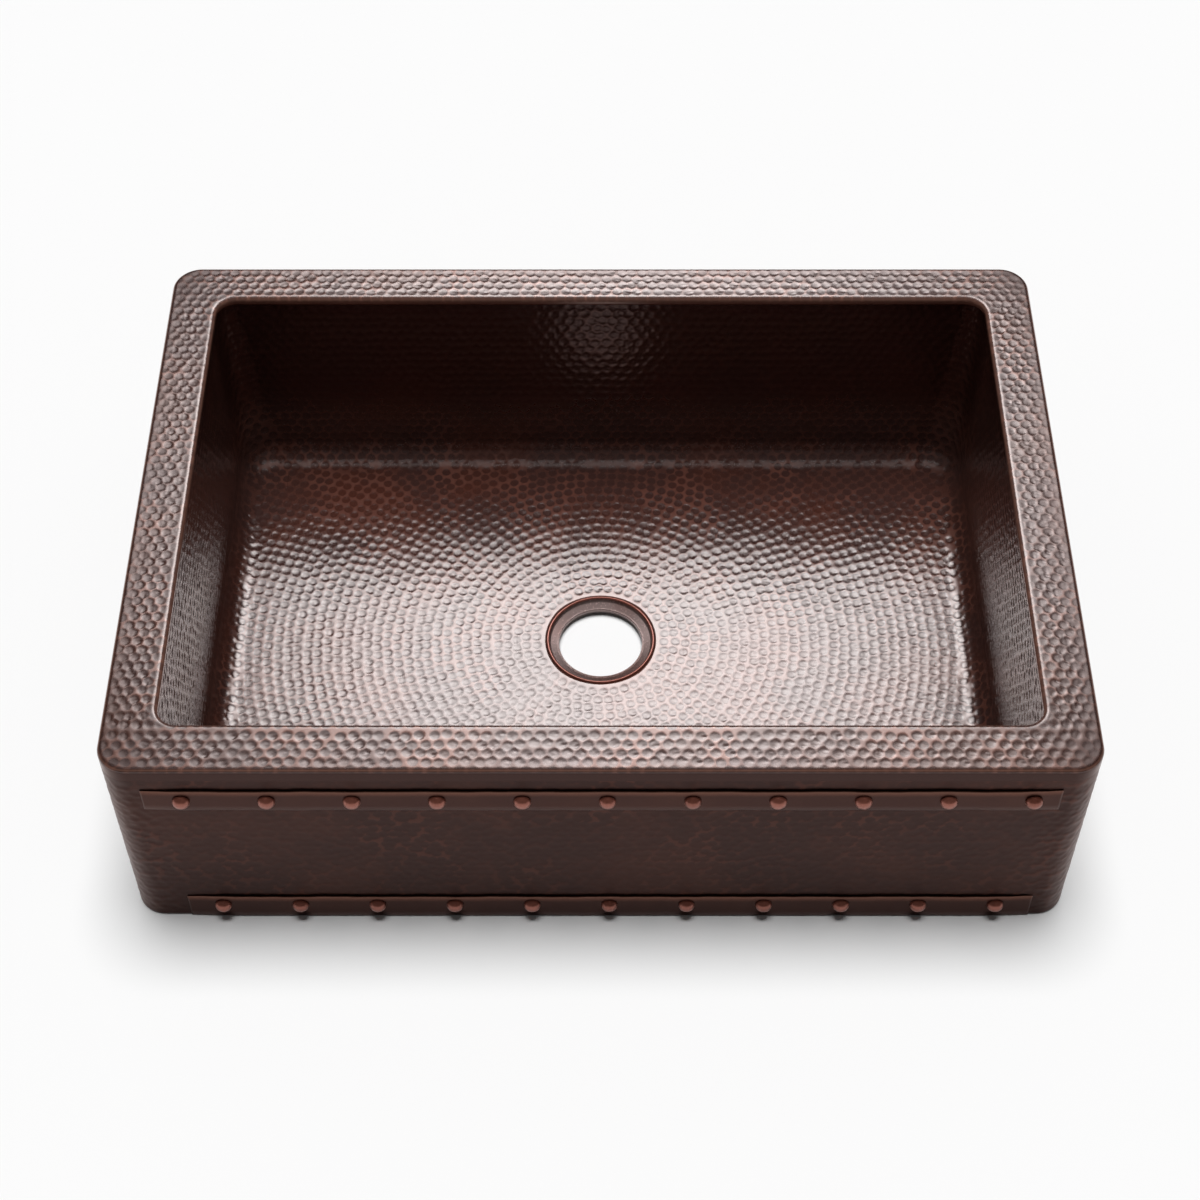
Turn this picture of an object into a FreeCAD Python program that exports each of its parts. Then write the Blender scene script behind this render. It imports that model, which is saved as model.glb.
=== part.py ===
import FreeCAD, Part
import Sketcher
import math
import os

# Farmhouse sink of hammered copper sheet, one bowl, with an apron front and two riveted straps.
# Millimetres. X runs left to right, the apron faces -Y, Z is up from the foot of the apron.

doc = FreeCAD.newDocument("apron_sink")
sizes = doc.addObject("Spreadsheet::Sheet", "sizes")

drivingSizes = [
    ("overall_width", "914.4", "left to right over the rim"),
    ("overall_depth", "647.7", "front to back over the rim"),
    ("overall_height", "254", "foot of the apron to the top of the rim"),
    ("sheet_thickness", "1.6", "all the copper sheet"),
    ("corner_radius", "29", "outer corners in plan"),
    ("rim_side", "49.5", "flat rim at left and right"),
    ("rim_front", "52.2", "flat rim at the front"),
    ("rim_back", "47.2", "flat rim at the back"),
    ("edge_radius", "4", "bend from the rim down to the outer edge"),
    ("edge_height", "16", "turned-down outer edge"),
    ("lip_radius", "3", "bend from the rim down into the bowl"),
    ("lip_height", "8.5", "turned-down inner lip"),
    ("lip_corner", "20", "corners of the inner lip in plan"),
    ("lap_gap", "0.3", "between the lip and the wall lapped behind it"),
    ("wall_top_gap", "1.7", "wall edge below the underside of the rim"),
    ("side_lean", "6", "the side walls lean in by this much at the floor"),
    ("front_lean", "12", "the front wall"),
    ("back_lean", "17", "the back wall"),
    ("foot_corner", "40", "upright corners of the bowl at the floor"),
    ("bowl_depth", "234", "top of the rim to the edge of the floor"),
    ("cove_radius", "26", "between wall and floor"),
    ("floor_seam", "30", "seam of the floor, in from the foot of the walls"),
    ("corner_seam", "50", "seams of the bowl's corners, in from the foot of the walls"),
    ("floor_fall", "4", "from the edge of the floor to the drain"),
    ("drain_flat", "4", "level floor round the ring"),
    ("ring_radius", "58.25", "outside of the drain ring"),
    ("ring_edge", "3.6", "width of the ring's rounded edge"),
    ("ring_rise", "1.3", "ring above the floor round it"),
    ("recess_depth", "7", "top of the ring to the seat beside the hole"),
    ("drain_radius", "44.45", "the drain hole, 3-1/2 inch"),
    ("drain_length", "4.6", "height of the round wall of the hole"),
    ("seat_fall", "2.4", "the seat falls by this much towards the hole"),
    ("seat_thickness", "2", "metal of the drain seat"),
    ("ring_gap", "0.3", "between the ring and the floor round it"),
    ("hem_width", "18", "hem turned in at the foot"),
    ("hem_bend", "2.6", "bend of the hem"),
    ("apron_return", "76.2", "apron carried back along each side"),
    ("rear_return", "60", "skirt carried round each rear corner"),
    ("strap_thickness", "2", "both straps"),
    ("strap_gap", "0.3", "between strap and apron"),
    ("strap_end", "16", "length of each dressed-down strap end"),
    ("strap_tip", "0.8", "thickness left at the tip"),
    ("upper_length", "841", "upper strap"),
    ("upper_middle", "0.8", "middle of the upper strap, right of centre"),
    ("upper_height", "31.75", "upper strap, 1-1/4 inch bar"),
    ("upper_drop", "46.2", "middle of the upper strap and its rivets below the rim"),
    ("upper_pitch", "78", "between the rivets of the upper strap"),
    ("upper_shift", "6.4", "middle rivet of the upper strap, right of centre"),
    ("lower_length", "823", "lower strap"),
    ("lower_middle", "9.2", "middle of the lower strap, right of centre"),
    ("lower_height", "36.5", "lower strap, up from the foot"),
    ("lower_foot", "0.7", "lower strap above the foot of the sink"),
    ("lower_rise", "22.6", "rivets of the lower strap above the foot"),
    ("lower_pitch", "75.4", "between the rivets of the lower strap"),
    ("lower_shift", "8.5", "middle rivet of the lower strap, right of centre"),
    ("head_radius", "8.25", "rivet heads"),
    ("head_height", "6.8", "rivet heads"),
    ("shank_radius", "2.8", "rivet shanks"),
    ("shank_gap", "0.3", "round each shank"),
    ("tail_radius", "4.4", "closed rivet tails"),
    ("tail_height", "1.8", "closed rivet tails"),
]

# Sizes that follow from the ones above.
followingSizes = [
    ("half_width", "=overall_width / 2"),
    ("half_depth", "=overall_depth / 2"),
    ("front_reach", "=strap_gap + strap_thickness + head_height"),
    ("frame_shift", "=front_reach / 2"),
    ("opening_half", "=half_width - rim_side"),
    ("opening_front", "=half_depth - rim_front"),
    ("opening_back", "=half_depth - rim_back"),
    ("bowl_middle", "=(opening_back - opening_front) / 2"),
    ("lap", "=sheet_thickness + lap_gap"),
    ("wall_top", "=overall_height - sheet_thickness - wall_top_gap"),
    ("floor_level", "=overall_height - bowl_depth"),
    ("top_half", "=opening_half + lap"),
    ("top_front", "=opening_front + lap"),
    ("top_back", "=opening_back + lap"),
    ("foot_half", "=top_half - side_lean"),
    ("foot_front", "=top_front - front_lean"),
    ("foot_back", "=top_back - back_lean"),
    ("drain_level", "=floor_level - floor_fall"),
    ("seat_level", "=drain_level + ring_rise - recess_depth"),
    ("drain_foot", "=seat_level - drain_length"),
    ("skirt_top", "=overall_height - edge_height"),
]


def writeSizes():
    for row, (name, text, note) in enumerate(drivingSizes, start=1):
        sizes.set("A%d" % row, name)
        sizes.set("B%d" % row, text)
        sizes.set("C%d" % row, note)
        sizes.setAlias("B%d" % row, name)
    for row, (name, formula) in enumerate(followingSizes, start=len(drivingSizes) + 1):
        sizes.set("A%d" % row, name)
        sizes.set("B%d" % row, formula)
        sizes.setAlias("B%d" % row, name)
    doc.recompute()


def amount(expression):
    return float(doc.getObject("sizes").evalExpression(expression.replace("sizes.", "")))


def newBody(label):
    body = doc.addObject("PartDesign::Body", label)
    body.Label = label
    body.AllowCompound = True
    body.setExpression("Placement.Base.y", "sizes.frame_shift")
    return body


def originPart(body, role):
    return next(part for part in body.Origin.OriginFeatures if part.Role == role)


def newSketch(body, name, role, offset=None):
    sketch = body.newObject("Sketcher::SketchObject", name)
    sketch.AttachmentSupport = (originPart(body, role), [""])
    sketch.MapMode = "FlatFace"
    if offset:
        sketch.setExpression("AttachmentOffset.Base.z", offset)
    return sketch


def bind(sketch, kind, *parts):
    # A dimension of the sketch that follows an expression: the last part is the expression.
    where, expression = parts[:-1], parts[-1]
    number = sketch.addConstraint(Sketcher.Constraint(kind, *where, amount(expression)))
    sketch.setExpression("Constraints[%d]" % number, expression)


def point(x, y):
    return FreeCAD.Vector(x, y, 0)


def roundedRectangle(sketch, half, front, back, radius):
    # Straight sides and four tangent corners; front and back are measured from the origin.
    w, f, b, r = amount(half), amount(front), amount(back), amount(radius)
    corners = [(w - r, r - f, -90), (w - r, b - r, 0), (r - w, b - r, 90), (r - w, r - f, 180)]
    ends = [((r - w, -f), (w - r, -f)), ((w, r - f), (w, b - r)),
            ((w - r, b), (r - w, b)), ((-w, b - r), (-w, r - f))]
    pieces = []
    for (start, end), (cx, cy, turn) in zip(ends, corners):
        pieces.append(Part.LineSegment(point(*start), point(*end)))
        circle = Part.Circle(point(cx, cy), FreeCAD.Vector(0, 0, 1), r)
        pieces.append(Part.ArcOfCircle(circle, math.radians(turn), math.radians(turn + 90)))
    first = sketch.addGeometry(pieces, False)[0]
    for i in range(8):
        following = first + (i + 1) % 8
        sketch.addConstraint(Sketcher.Constraint("Tangent", first + i, 2, following, 1))
    for i, kind in ((0, "Horizontal"), (2, "Vertical"), (4, "Horizontal"), (6, "Vertical")):
        sketch.addConstraint(Sketcher.Constraint(kind, first + i))
    for i in (3, 5, 7):
        sketch.addConstraint(Sketcher.Constraint("Equal", first + 1, first + i))
    bind(sketch, "Radius", first + 1, radius)
    bind(sketch, "DistanceX", -1, 1, first + 2, 1, half)
    bind(sketch, "DistanceX", first + 6, 1, -1, 1, half)
    bind(sketch, "DistanceY", first, 1, -1, 1, front)
    bind(sketch, "DistanceY", -1, 1, first + 4, 1, back)


def pinnedOutline(sketch, corners):
    # A closed outline of straight sides, each corner held by its two distances from the origin.
    spots = [(amount(x), amount(y)) for x, y in corners]
    count = len(spots)
    sides = [Part.LineSegment(point(*spots[i]), point(*spots[(i + 1) % count])) for i in range(count)]
    first = sketch.addGeometry(sides, False)[0]
    for i in range(count):
        following = first + (i + 1) % count
        sketch.addConstraint(Sketcher.Constraint("Coincident", first + i, 2, following, 1))
    for i, (x, y) in enumerate(corners):
        bind(sketch, "DistanceX", -1, 1, first + i, 1, x)
        bind(sketch, "DistanceY", -1, 1, first + i, 1, y)


def pad(body, name, sketch, length):
    feature = body.newObject("PartDesign::Pad", name)
    feature.Profile = sketch
    feature.setExpression("Length", length)
    sketch.Visibility = False
    doc.recompute()
    return feature


def pocket(body, name, sketch, length, upwards=False):
    # Removes material along the sketch's normal when upwards, against it otherwise.
    before = body.Shape.Volume
    feature = body.newObject("PartDesign::Pocket", name)
    feature.Profile = sketch
    feature.Reversed = upwards
    feature.setExpression("Length", length)
    sketch.Visibility = False
    doc.recompute()
    if not body.Shape.Volume < before - 1:
        raise ValueError(name + " removes nothing")
    return feature


def loft(body, kind, name, profile, section):
    feature = body.newObject("PartDesign::" + kind, name)
    feature.Profile = profile
    feature.Sections = [section]
    feature.Ruled = True
    profile.Visibility = False
    section.Visibility = False
    doc.recompute()
    return feature


def revolve(body, name, sketch):
    feature = body.newObject("PartDesign::Revolution", name)
    feature.Profile = sketch
    feature.ReferenceAxis = (sketch, ["V_Axis"])
    feature.Angle = 360
    sketch.Visibility = False
    doc.recompute()
    return feature


def rowOfEleven(body, name, feature, pitch):
    row = body.newObject("PartDesign::LinearPattern", name)
    row.Originals = [feature]
    row.Direction = (originPart(body, "X_Axis"), [""])
    row.setExpression("Length", "10 * " + pitch)
    row.Occurrences = 11
    body.Tip = row
    doc.recompute()
    return row


def fillet(body, name, feature, radius, chosen):
    # Rounds every edge for which chosen(edge) is true.
    names = ["Edge%d" % i for i, edge in enumerate(feature.Shape.Edges, start=1) if chosen(edge)]
    rounding = body.newObject("PartDesign::Fillet", name)
    rounding.Base = (feature, names)
    rounding.setExpression("Radius", radius)
    doc.recompute()
    return rounding


def levelEdge(edge, level):
    box = edge.BoundBox
    return abs(box.ZMin - level) < 0.01 and abs(box.ZMax - level) < 0.01


def withinPlan(edge, half, front, back):
    # True for an edge that stays inside the given plan rectangle.
    box = edge.BoundBox
    across = box.XMax < half + 0.05 and box.XMin > -half - 0.05
    return across and box.YMin > -front - 0.05 and box.YMax < back + 0.05


def makeRimForm():
    # The whole deck as one channel: flat top, outer edge turned down, inner lip turned down.
    body = newBody("rim_form")
    outline = newSketch(body, "rim_outline", "XY_Plane", "sizes.skirt_top")
    deep = "sizes.half_depth"
    roundedRectangle(outline, "sizes.half_width", deep, deep, "sizes.corner_radius")
    block = pad(body, "rim_block", outline, "sizes.edge_height")
    top = amount("sizes.overall_height")
    fillet(body, "outer_bend", block, "sizes.edge_radius", lambda edge: levelEdge(edge, top))

    opening = newSketch(body, "opening_outline", "XY_Plane", "sizes.overall_height")
    sides = ("sizes.opening_half", "sizes.opening_front", "sizes.opening_back")
    roundedRectangle(opening, *sides, "sizes.lip_corner")
    hole = pocket(body, "opening", opening, "sizes.edge_height + 1")
    half, front, back = (amount(side) for side in sides)

    def openingEdge(edge):
        return levelEdge(edge, top) and withinPlan(edge, half, front, back)
    fillet(body, "lip_bend", hole, "sizes.lip_radius", openingEdge)

    hollow = newSketch(body, "hollow_outline", "XY_Plane", "sizes.skirt_top")
    t = " - sizes.sheet_thickness"
    roundedRectangle(hollow, "sizes.half_width" + t, deep + t, deep + t, "sizes.corner_radius" + t)
    t = " + sizes.sheet_thickness"
    roundedRectangle(hollow, *(side + t for side in sides), "sizes.lip_corner" + t)
    channel = pocket(body, "hollow", hollow, "sizes.edge_height - sizes.sheet_thickness", upwards=True)
    under = top - amount("sizes.sheet_thickness")
    reach = amount("sizes.opening_half") + 3

    def outerHollow(edge):
        return levelEdge(edge, under) and not withinPlan(edge, reach, front + 3, back + 3)

    def innerHollow(edge):
        return levelEdge(edge, under) and withinPlan(edge, reach, front + 3, back + 3)
    t = " - sizes.sheet_thickness"
    bend = fillet(body, "outer_bend_inside", channel, "sizes.edge_radius" + t, outerHollow)
    fillet(body, "lip_bend_inside", bend, "sizes.lip_radius" + t, innerHollow)

    trim = newSketch(body, "lip_trim_outline", "XY_Plane", "sizes.skirt_top")
    roundedRectangle(trim, *(side + " + 3" for side in sides), "sizes.lip_corner + 3")
    pocket(body, "lip_trim", trim, "sizes.edge_height - sizes.lip_height", upwards=True)
    return body


def makeRimStrips(form):
    # Four strips, mitred along the lines from the outer corners to the corners of the opening.
    reach = 30
    strips = []
    for label, facing in (("rim_front", -1), ("rim_back", 1)):
        rim = "sizes.rim_front" if facing < 0 else "sizes.rim_back"
        wedge = doc.addObject("Part::Wedge", label + "_mitre")
        wedge.setExpression("Ymin", "-sizes.half_depth")
        wedge.setExpression("Ymax", "-sizes.half_depth + %s * (1 + %d / sizes.rim_side)" % (rim, reach))
        wedge.setExpression("Xmin", "-sizes.half_width")
        wedge.setExpression("Xmax", "sizes.half_width")
        wedge.setExpression("X2min", "-sizes.half_width + sizes.rim_side + %d" % reach)
        wedge.setExpression("X2max", "sizes.half_width - sizes.rim_side - %d" % reach)
        strips.append((label, wedge, 0 if facing < 0 else 180))
    for label, facing in (("rim_left", -1), ("rim_right", 1)):
        wedge = doc.addObject("Part::Wedge", label + "_mitre")
        lowEnd, highEnd = ("back", "front") if facing < 0 else ("front", "back")
        grow = " * (1 + %d / sizes.rim_side)" % reach
        wedge.setExpression("Ymin", "-sizes.half_width")
        wedge.setExpression("Ymax", "-sizes.half_width + sizes.rim_side + %d" % reach)
        wedge.setExpression("Xmin", "-sizes.half_depth")
        wedge.setExpression("Xmax", "sizes.half_depth")
        wedge.setExpression("X2min", "-sizes.half_depth + sizes.rim_%s" % lowEnd + grow)
        wedge.setExpression("X2max", "sizes.half_depth - sizes.rim_%s" % highEnd + grow)
        strips.append((label, wedge, -90 if facing < 0 else 90))
    nodes = []
    for label, wedge, turn in strips:
        for name, level in (("Zmin", "sizes.skirt_top - 1"), ("Z2min", "sizes.skirt_top - 1"),
                            ("Zmax", "sizes.overall_height + 1"), ("Z2max", "sizes.overall_height + 1")):
            wedge.setExpression(name, level)
        wedge.Placement.Rotation = FreeCAD.Rotation(FreeCAD.Vector(0, 0, 1), turn)
        wedge.setExpression("Placement.Base.y", "sizes.frame_shift")
        nodes.append(common(label, form, wedge))
    return nodes


def common(label, first, second):
    piece = doc.addObject("Part::Common", label)
    piece.Label = label
    piece.Base = first
    piece.Tool = second
    doc.recompute()
    return piece


def bowlSection(body, name, level, end, spread, corner):
    # The bowl's outline at the top or the foot of its walls; spread is added for their outer face.
    sketch = newSketch(body, name, "XY_Plane", level)
    half, front, back = ("sizes.%s_%s%s" % (end, side, spread) for side in ("half", "front", "back"))
    roundedRectangle(sketch, half, front, back, corner)
    return sketch


def makeBowlForm():
    # The whole bowl as one sheet: leaning walls, corners that open out towards the foot, cove and floor.
    body = newBody("bowl_form")
    t, corner = " + sizes.sheet_thickness", "sizes.lip_corner + sizes.lap"
    high = bowlSection(body, "outer_top", "sizes.wall_top", "top", t, corner + t)
    below = "sizes.floor_level - sizes.sheet_thickness"
    low = bowlSection(body, "outer_foot", below, "foot", t, "sizes.foot_corner" + t)
    loft(body, "AdditiveLoft", "outer_bowl", high, low)
    high = bowlSection(body, "inner_top", "sizes.wall_top", "top", "", corner)
    low = bowlSection(body, "inner_foot", "sizes.floor_level", "foot", "", "sizes.foot_corner")
    hollow = loft(body, "SubtractiveLoft", "inner_bowl", high, low)
    level, under = amount("sizes.floor_level"), amount(below)
    cove = fillet(body, "cove", hollow, "sizes.cove_radius", lambda edge: levelEdge(edge, level))
    fillet(body, "cove_outside", cove, "sizes.cove_radius" + t, lambda edge: levelEdge(edge, under))
    return body


def makeBowlCorners(form):
    # The four raised corners, from the seams of the walls outwards.
    nodes = []
    for label, sideways, facing in (("bowl_corner_front_left", -1, -1), ("bowl_corner_front_right", 1, -1),
                                    ("bowl_corner_back_left", -1, 1), ("bowl_corner_back_right", 1, 1)):
        cutter = doc.addObject("Part::Box", label + "_cut")
        cutter.setExpression("Height", "2 * sizes.overall_height")
        cutter.setExpression("Placement.Base.z", "-sizes.overall_height")
        cutter.setExpression("Length", "sizes.half_width")
        cutter.setExpression("Width", "sizes.half_depth")
        x = "sizes.foot_half - sizes.corner_seam"
        cutter.setExpression("Placement.Base.x", x if sideways > 0 else "-(%s) - sizes.half_width" % x)
        y = "sizes.frame_shift + sizes.foot_back - sizes.corner_seam"
        if facing < 0:
            y = "sizes.frame_shift - sizes.foot_front + sizes.corner_seam - sizes.half_depth"
        cutter.setExpression("Placement.Base.y", y)
        nodes.append(common(label, form, cutter))
    return nodes


def makeWall(label, plane, facing, foot, start, end):
    # One straight wall: a sheet that leans in and is bent through the cove to meet the floor.
    # foot: distance of its foot from the middle; start and end: where it runs along the other axis.
    body = newBody(label)
    section = newSketch(body, label + "_section", plane, "-(%s)" % end if plane == "XZ_Plane" else end)
    sign = "" if facing > 0 else "-"
    t = " + sizes.sheet_thickness"
    floor, below = "sizes.floor_level", "sizes.floor_level - sizes.sheet_thickness"
    seam, head, top = foot + " - sizes.floor_seam", foot.replace("foot", "top"), "sizes.wall_top"
    spots = [(head, top), (foot, floor), (seam, floor), (seam, below), (foot + t, below), (head + t, top)]
    pinnedOutline(section, [("%s(%s)" % (sign, across), up) for across, up in spots])
    sheet = body.newObject("PartDesign::Pad", label + "_sheet")
    sheet.Profile = section
    sheet.Reversed = plane == "YZ_Plane"
    sheet.setExpression("Length", "(%s) - (%s)" % (end, start))
    section.Visibility = False
    doc.recompute()

    def alongFoot(edge, height, distance):
        across = edge.BoundBox.Center.y if plane == "YZ_Plane" else edge.BoundBox.Center.x
        return levelEdge(edge, amount(height)) and abs(abs(across) - amount(distance)) < 0.01
    radius = "sizes.cove_radius"
    cove = fillet(body, label + "_cove", sheet, radius, lambda edge: alongFoot(edge, floor, foot))
    fillet(body, label + "_cove_outside", cove, radius + t, lambda edge: alongFoot(edge, below, foot + t))
    return body


def makeWalls():
    side = "sizes.foot_half - sizes.corner_seam"
    near, far = "-(sizes.foot_front - sizes.corner_seam)", "sizes.foot_back - sizes.corner_seam"
    return [makeWall("bowl_wall_front", "YZ_Plane", -1, "sizes.foot_front", "-(%s)" % side, side),
            makeWall("bowl_wall_back", "YZ_Plane", 1, "sizes.foot_back", "-(%s)" % side, side),
            makeWall("bowl_wall_left", "XZ_Plane", -1, "sizes.foot_half", near, far),
            makeWall("bowl_wall_right", "XZ_Plane", 1, "sizes.foot_half", near, far)]


def pressedFall(body, name, kind, drop, half, front, back):
    # Four flat sides that fall from a rectangle at the seams to a level square round the drain.
    fall = body.newObject("PartDesign::" + kind, name)
    fall.AttachmentSupport = (originPart(body, "XZ_Plane"), [""])
    fall.MapMode = "FlatFace"
    square, middle = "(sizes.ring_radius + sizes.drain_flat)", "sizes.bowl_middle"
    for size, length in (("Ymin", "sizes.drain_level" + drop), ("Ymax", "sizes.floor_level" + drop),
                         ("Xmin", "-" + square), ("Xmax", square), ("X2min", "-(%s)" % half), ("X2max", half),
                         ("Zmin", "-%s - %s" % (middle, square)), ("Zmax", "%s - %s" % (square, middle)),
                         ("Z2min", "-(%s)" % back), ("Z2max", "-(%s)" % front)):
        fall.setExpression(size, length)
    doc.recompute()


def makeFloor():
    # The plate between the coves, falling to the drain from every side, notched for the four corners.
    body = newBody("bowl_floor")
    outline = newSketch(body, "floor_outline", "XY_Plane", "sizes.floor_level - sizes.sheet_thickness")
    wide, narrow = "sizes.foot_half - sizes.floor_seam", "sizes.foot_half - sizes.corner_seam"
    front, nearer = "-(sizes.foot_front - sizes.floor_seam)", "-(sizes.foot_front - sizes.corner_seam)"
    back, farther = "sizes.foot_back - sizes.floor_seam", "sizes.foot_back - sizes.corner_seam"
    right = [(narrow, front), (narrow, nearer), (wide, nearer),
             (wide, farther), (narrow, farther), (narrow, back)]
    left = [("-(%s)" % x, y) for x, y in reversed(right)]
    pinnedOutline(outline, right + left)
    pad(body, "plate", outline, "sizes.sheet_thickness")
    pressedFall(body, "fall_outside", "AdditiveWedge", " - sizes.sheet_thickness", narrow, nearer, farther)
    pressedFall(body, "fall", "SubtractiveWedge", "", narrow, nearer, farther)

    hole = newSketch(body, "drain_outline", "XY_Plane", "sizes.floor_level")
    centre = point(0, amount("sizes.bowl_middle"))
    hole.addGeometry(Part.Circle(centre, FreeCAD.Vector(0, 0, 1), amount("sizes.ring_radius")), False)
    bind(hole, "Radius", 0, "sizes.ring_radius + sizes.ring_gap")
    hole.addConstraint(Sketcher.Constraint("PointOnObject", 0, 3, -2))
    bind(hole, "DistanceY", -1, 1, 0, 3, "sizes.bowl_middle")
    pocket(body, "drain_opening", hole, "sizes.floor_fall + 2 * sizes.sheet_thickness")
    return body


def makeDrainSeat():
    # The turned ring: rounded edge, recess, seat falling to a small raised bead, and the round hole.
    body = newBody("drain_seat")
    body.setExpression("Placement.Base.y", "sizes.frame_shift + sizes.bowl_middle")
    section = newSketch(body, "seat_section", "XZ_Plane")
    outer, inner, hole = "sizes.ring_radius", "sizes.ring_radius - sizes.ring_edge", "sizes.drain_radius"
    seat, foot, under = "sizes.seat_level", "sizes.drain_foot", "sizes.drain_level - 4"
    below, crown = seat + " - sizes.seat_thickness", "sizes.drain_level + sizes.ring_rise"
    fall = " + sizes.seat_fall"
    underside = [(hole, foot), (hole + " + 2", foot), (hole + " + 2", below), (inner + " + 2", below + fall)]
    edge = [(inner + " + 2", under), (outer, under), (outer, crown + " - 1.2"),
            (outer + " - 0.4", crown + " - 0.4"), (outer + " - 1.2", crown), (inner + " + 1.2", crown),
            (inner + " + 0.4", crown + " - 0.4"), (inner, crown + " - 1.2"), (inner, seat + fall)]
    bead = [(hole + " + 1.6", seat), (hole + " + 1.2", seat + " + 0.5"), (hole + " + 0.4", seat + " + 0.5"),
            (hole, seat)]
    pinnedOutline(section, underside + edge + bead)
    revolve(body, "seat_turned", section)
    return body


def wrappedBand(sketch, reach):
    # The sink's outline in plan and the same outline further in, with the sheet between them.
    for inset in ("", " - " + reach):
        wide, deep = "sizes.half_width" + inset, "sizes.half_depth" + inset
        roundedRectangle(sketch, wide, deep, deep, "sizes.corner_radius" + inset)


def makeSkirtForm():
    # Apron and skirts as one band round the foot, with the hem turned in below.
    body = newBody("skirt_form")
    band = newSketch(body, "band_outline", "XY_Plane")
    wrappedBand(band, "sizes.sheet_thickness")
    pad(body, "band", band, "sizes.skirt_top")
    hem = newSketch(body, "hem_outline", "XY_Plane")
    wrappedBand(hem, "sizes.hem_width")
    folded = pad(body, "hem", hem, "sizes.sheet_thickness")
    half, deep = amount("sizes.half_width") - 5, amount("sizes.half_depth") - 5

    def footEdge(edge):
        return levelEdge(edge, 0) and not withinPlan(edge, half, deep, deep)
    fillet(body, "hem_bend_outside", folded, "sizes.hem_bend", footEdge)
    return body


def footprint(name, corners):
    # A tall block over a plan outline, used to cut one sheet out of the band.
    body = newBody(name)
    sketch = newSketch(body, name + "_plan", "XY_Plane")
    pinnedOutline(sketch, corners)
    pad(body, name + "_block", sketch, "sizes.overall_height")
    return body


def rivetHoles(body, name, level, shift, pitch):
    sketch = newSketch(body, name + "_outline", "XZ_Plane", "sizes.half_depth + 10")
    place = point(amount(shift + " - 5 * " + pitch), amount(level))
    sketch.addGeometry(Part.Circle(place, FreeCAD.Vector(0, 0, 1), 3), False)
    bind(sketch, "Radius", 0, "sizes.shank_radius + sizes.shank_gap")
    bind(sketch, "DistanceX", -1, 1, 0, 3, shift + " - 5 * " + pitch)
    bind(sketch, "DistanceY", -1, 1, 0, 3, level)
    hole = pocket(body, name, sketch, "20")
    rowOfEleven(body, name + "_row", hole, pitch)


UPPER = ("sizes.overall_height - sizes.upper_drop", "sizes.upper_shift", "sizes.upper_pitch")
LOWER = ("sizes.lower_rise", "sizes.lower_shift", "sizes.lower_pitch")


def makeApronAndSkirts():
    form = makeSkirtForm()
    seam = "-sizes.half_depth + sizes.apron_return"
    near, far = "-sizes.half_depth - 5", "sizes.half_depth + 5"
    out, side = "sizes.half_width + 5", "sizes.half_width - sizes.corner_radius - sizes.rear_return"
    outLeft, sideLeft = "-(%s)" % out, "-(%s)" % side
    front = footprint("apron_plan", [(outLeft, near), (out, near), (out, seam), (outLeft, seam)])
    left = footprint("left_plan", [(outLeft, seam), (sideLeft, seam), (sideLeft, far), (outLeft, far)])
    right = footprint("right_plan", [(side, seam), (out, seam), (out, far), (side, far)])
    sheet = common("apron_sheet", form, front)
    apron = doc.addObject("PartDesign::Body", "apron_front")
    apron.Label = "apron_front"
    apron.BaseFeature = sheet
    doc.recompute()
    rivetHoles(apron, "upper_holes", *UPPER)
    rivetHoles(apron, "lower_holes", *LOWER)
    return [apron, common("skirt_left", form, left), common("skirt_right", form, right)]


def makeStrap(label, length, middle, height, bottom, level, shift, pitch):
    # A flat bar, its two ends dressed down to thin tips, its long front edges eased.
    body = newBody(label)
    plan = newSketch(body, label + "_plan", "XY_Plane", bottom)
    left, right = "%s - %s / 2" % (middle, length), "%s + %s / 2" % (middle, length)
    back = "-sizes.half_depth - sizes.strap_gap"
    face, tip = back + " - sizes.strap_thickness", back + " - sizes.strap_tip"
    pinnedOutline(plan, [(left, back), (left, tip), (left + " + sizes.strap_end", face),
                         (right + " - sizes.strap_end", face), (right, tip), (right, back)])
    bar = pad(body, label + "_bar", plan, height)
    depth, most = amount(face), amount(length) / 2

    def frontEdge(edge):
        box = edge.BoundBox
        return box.XLength > most and box.YMax < depth + 0.01
    fillet(body, label + "_eased", bar, "sizes.strap_thickness * 0.4", frontEdge)
    rivetHoles(body, label + "_holes", level, shift, pitch)
    return body


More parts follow.
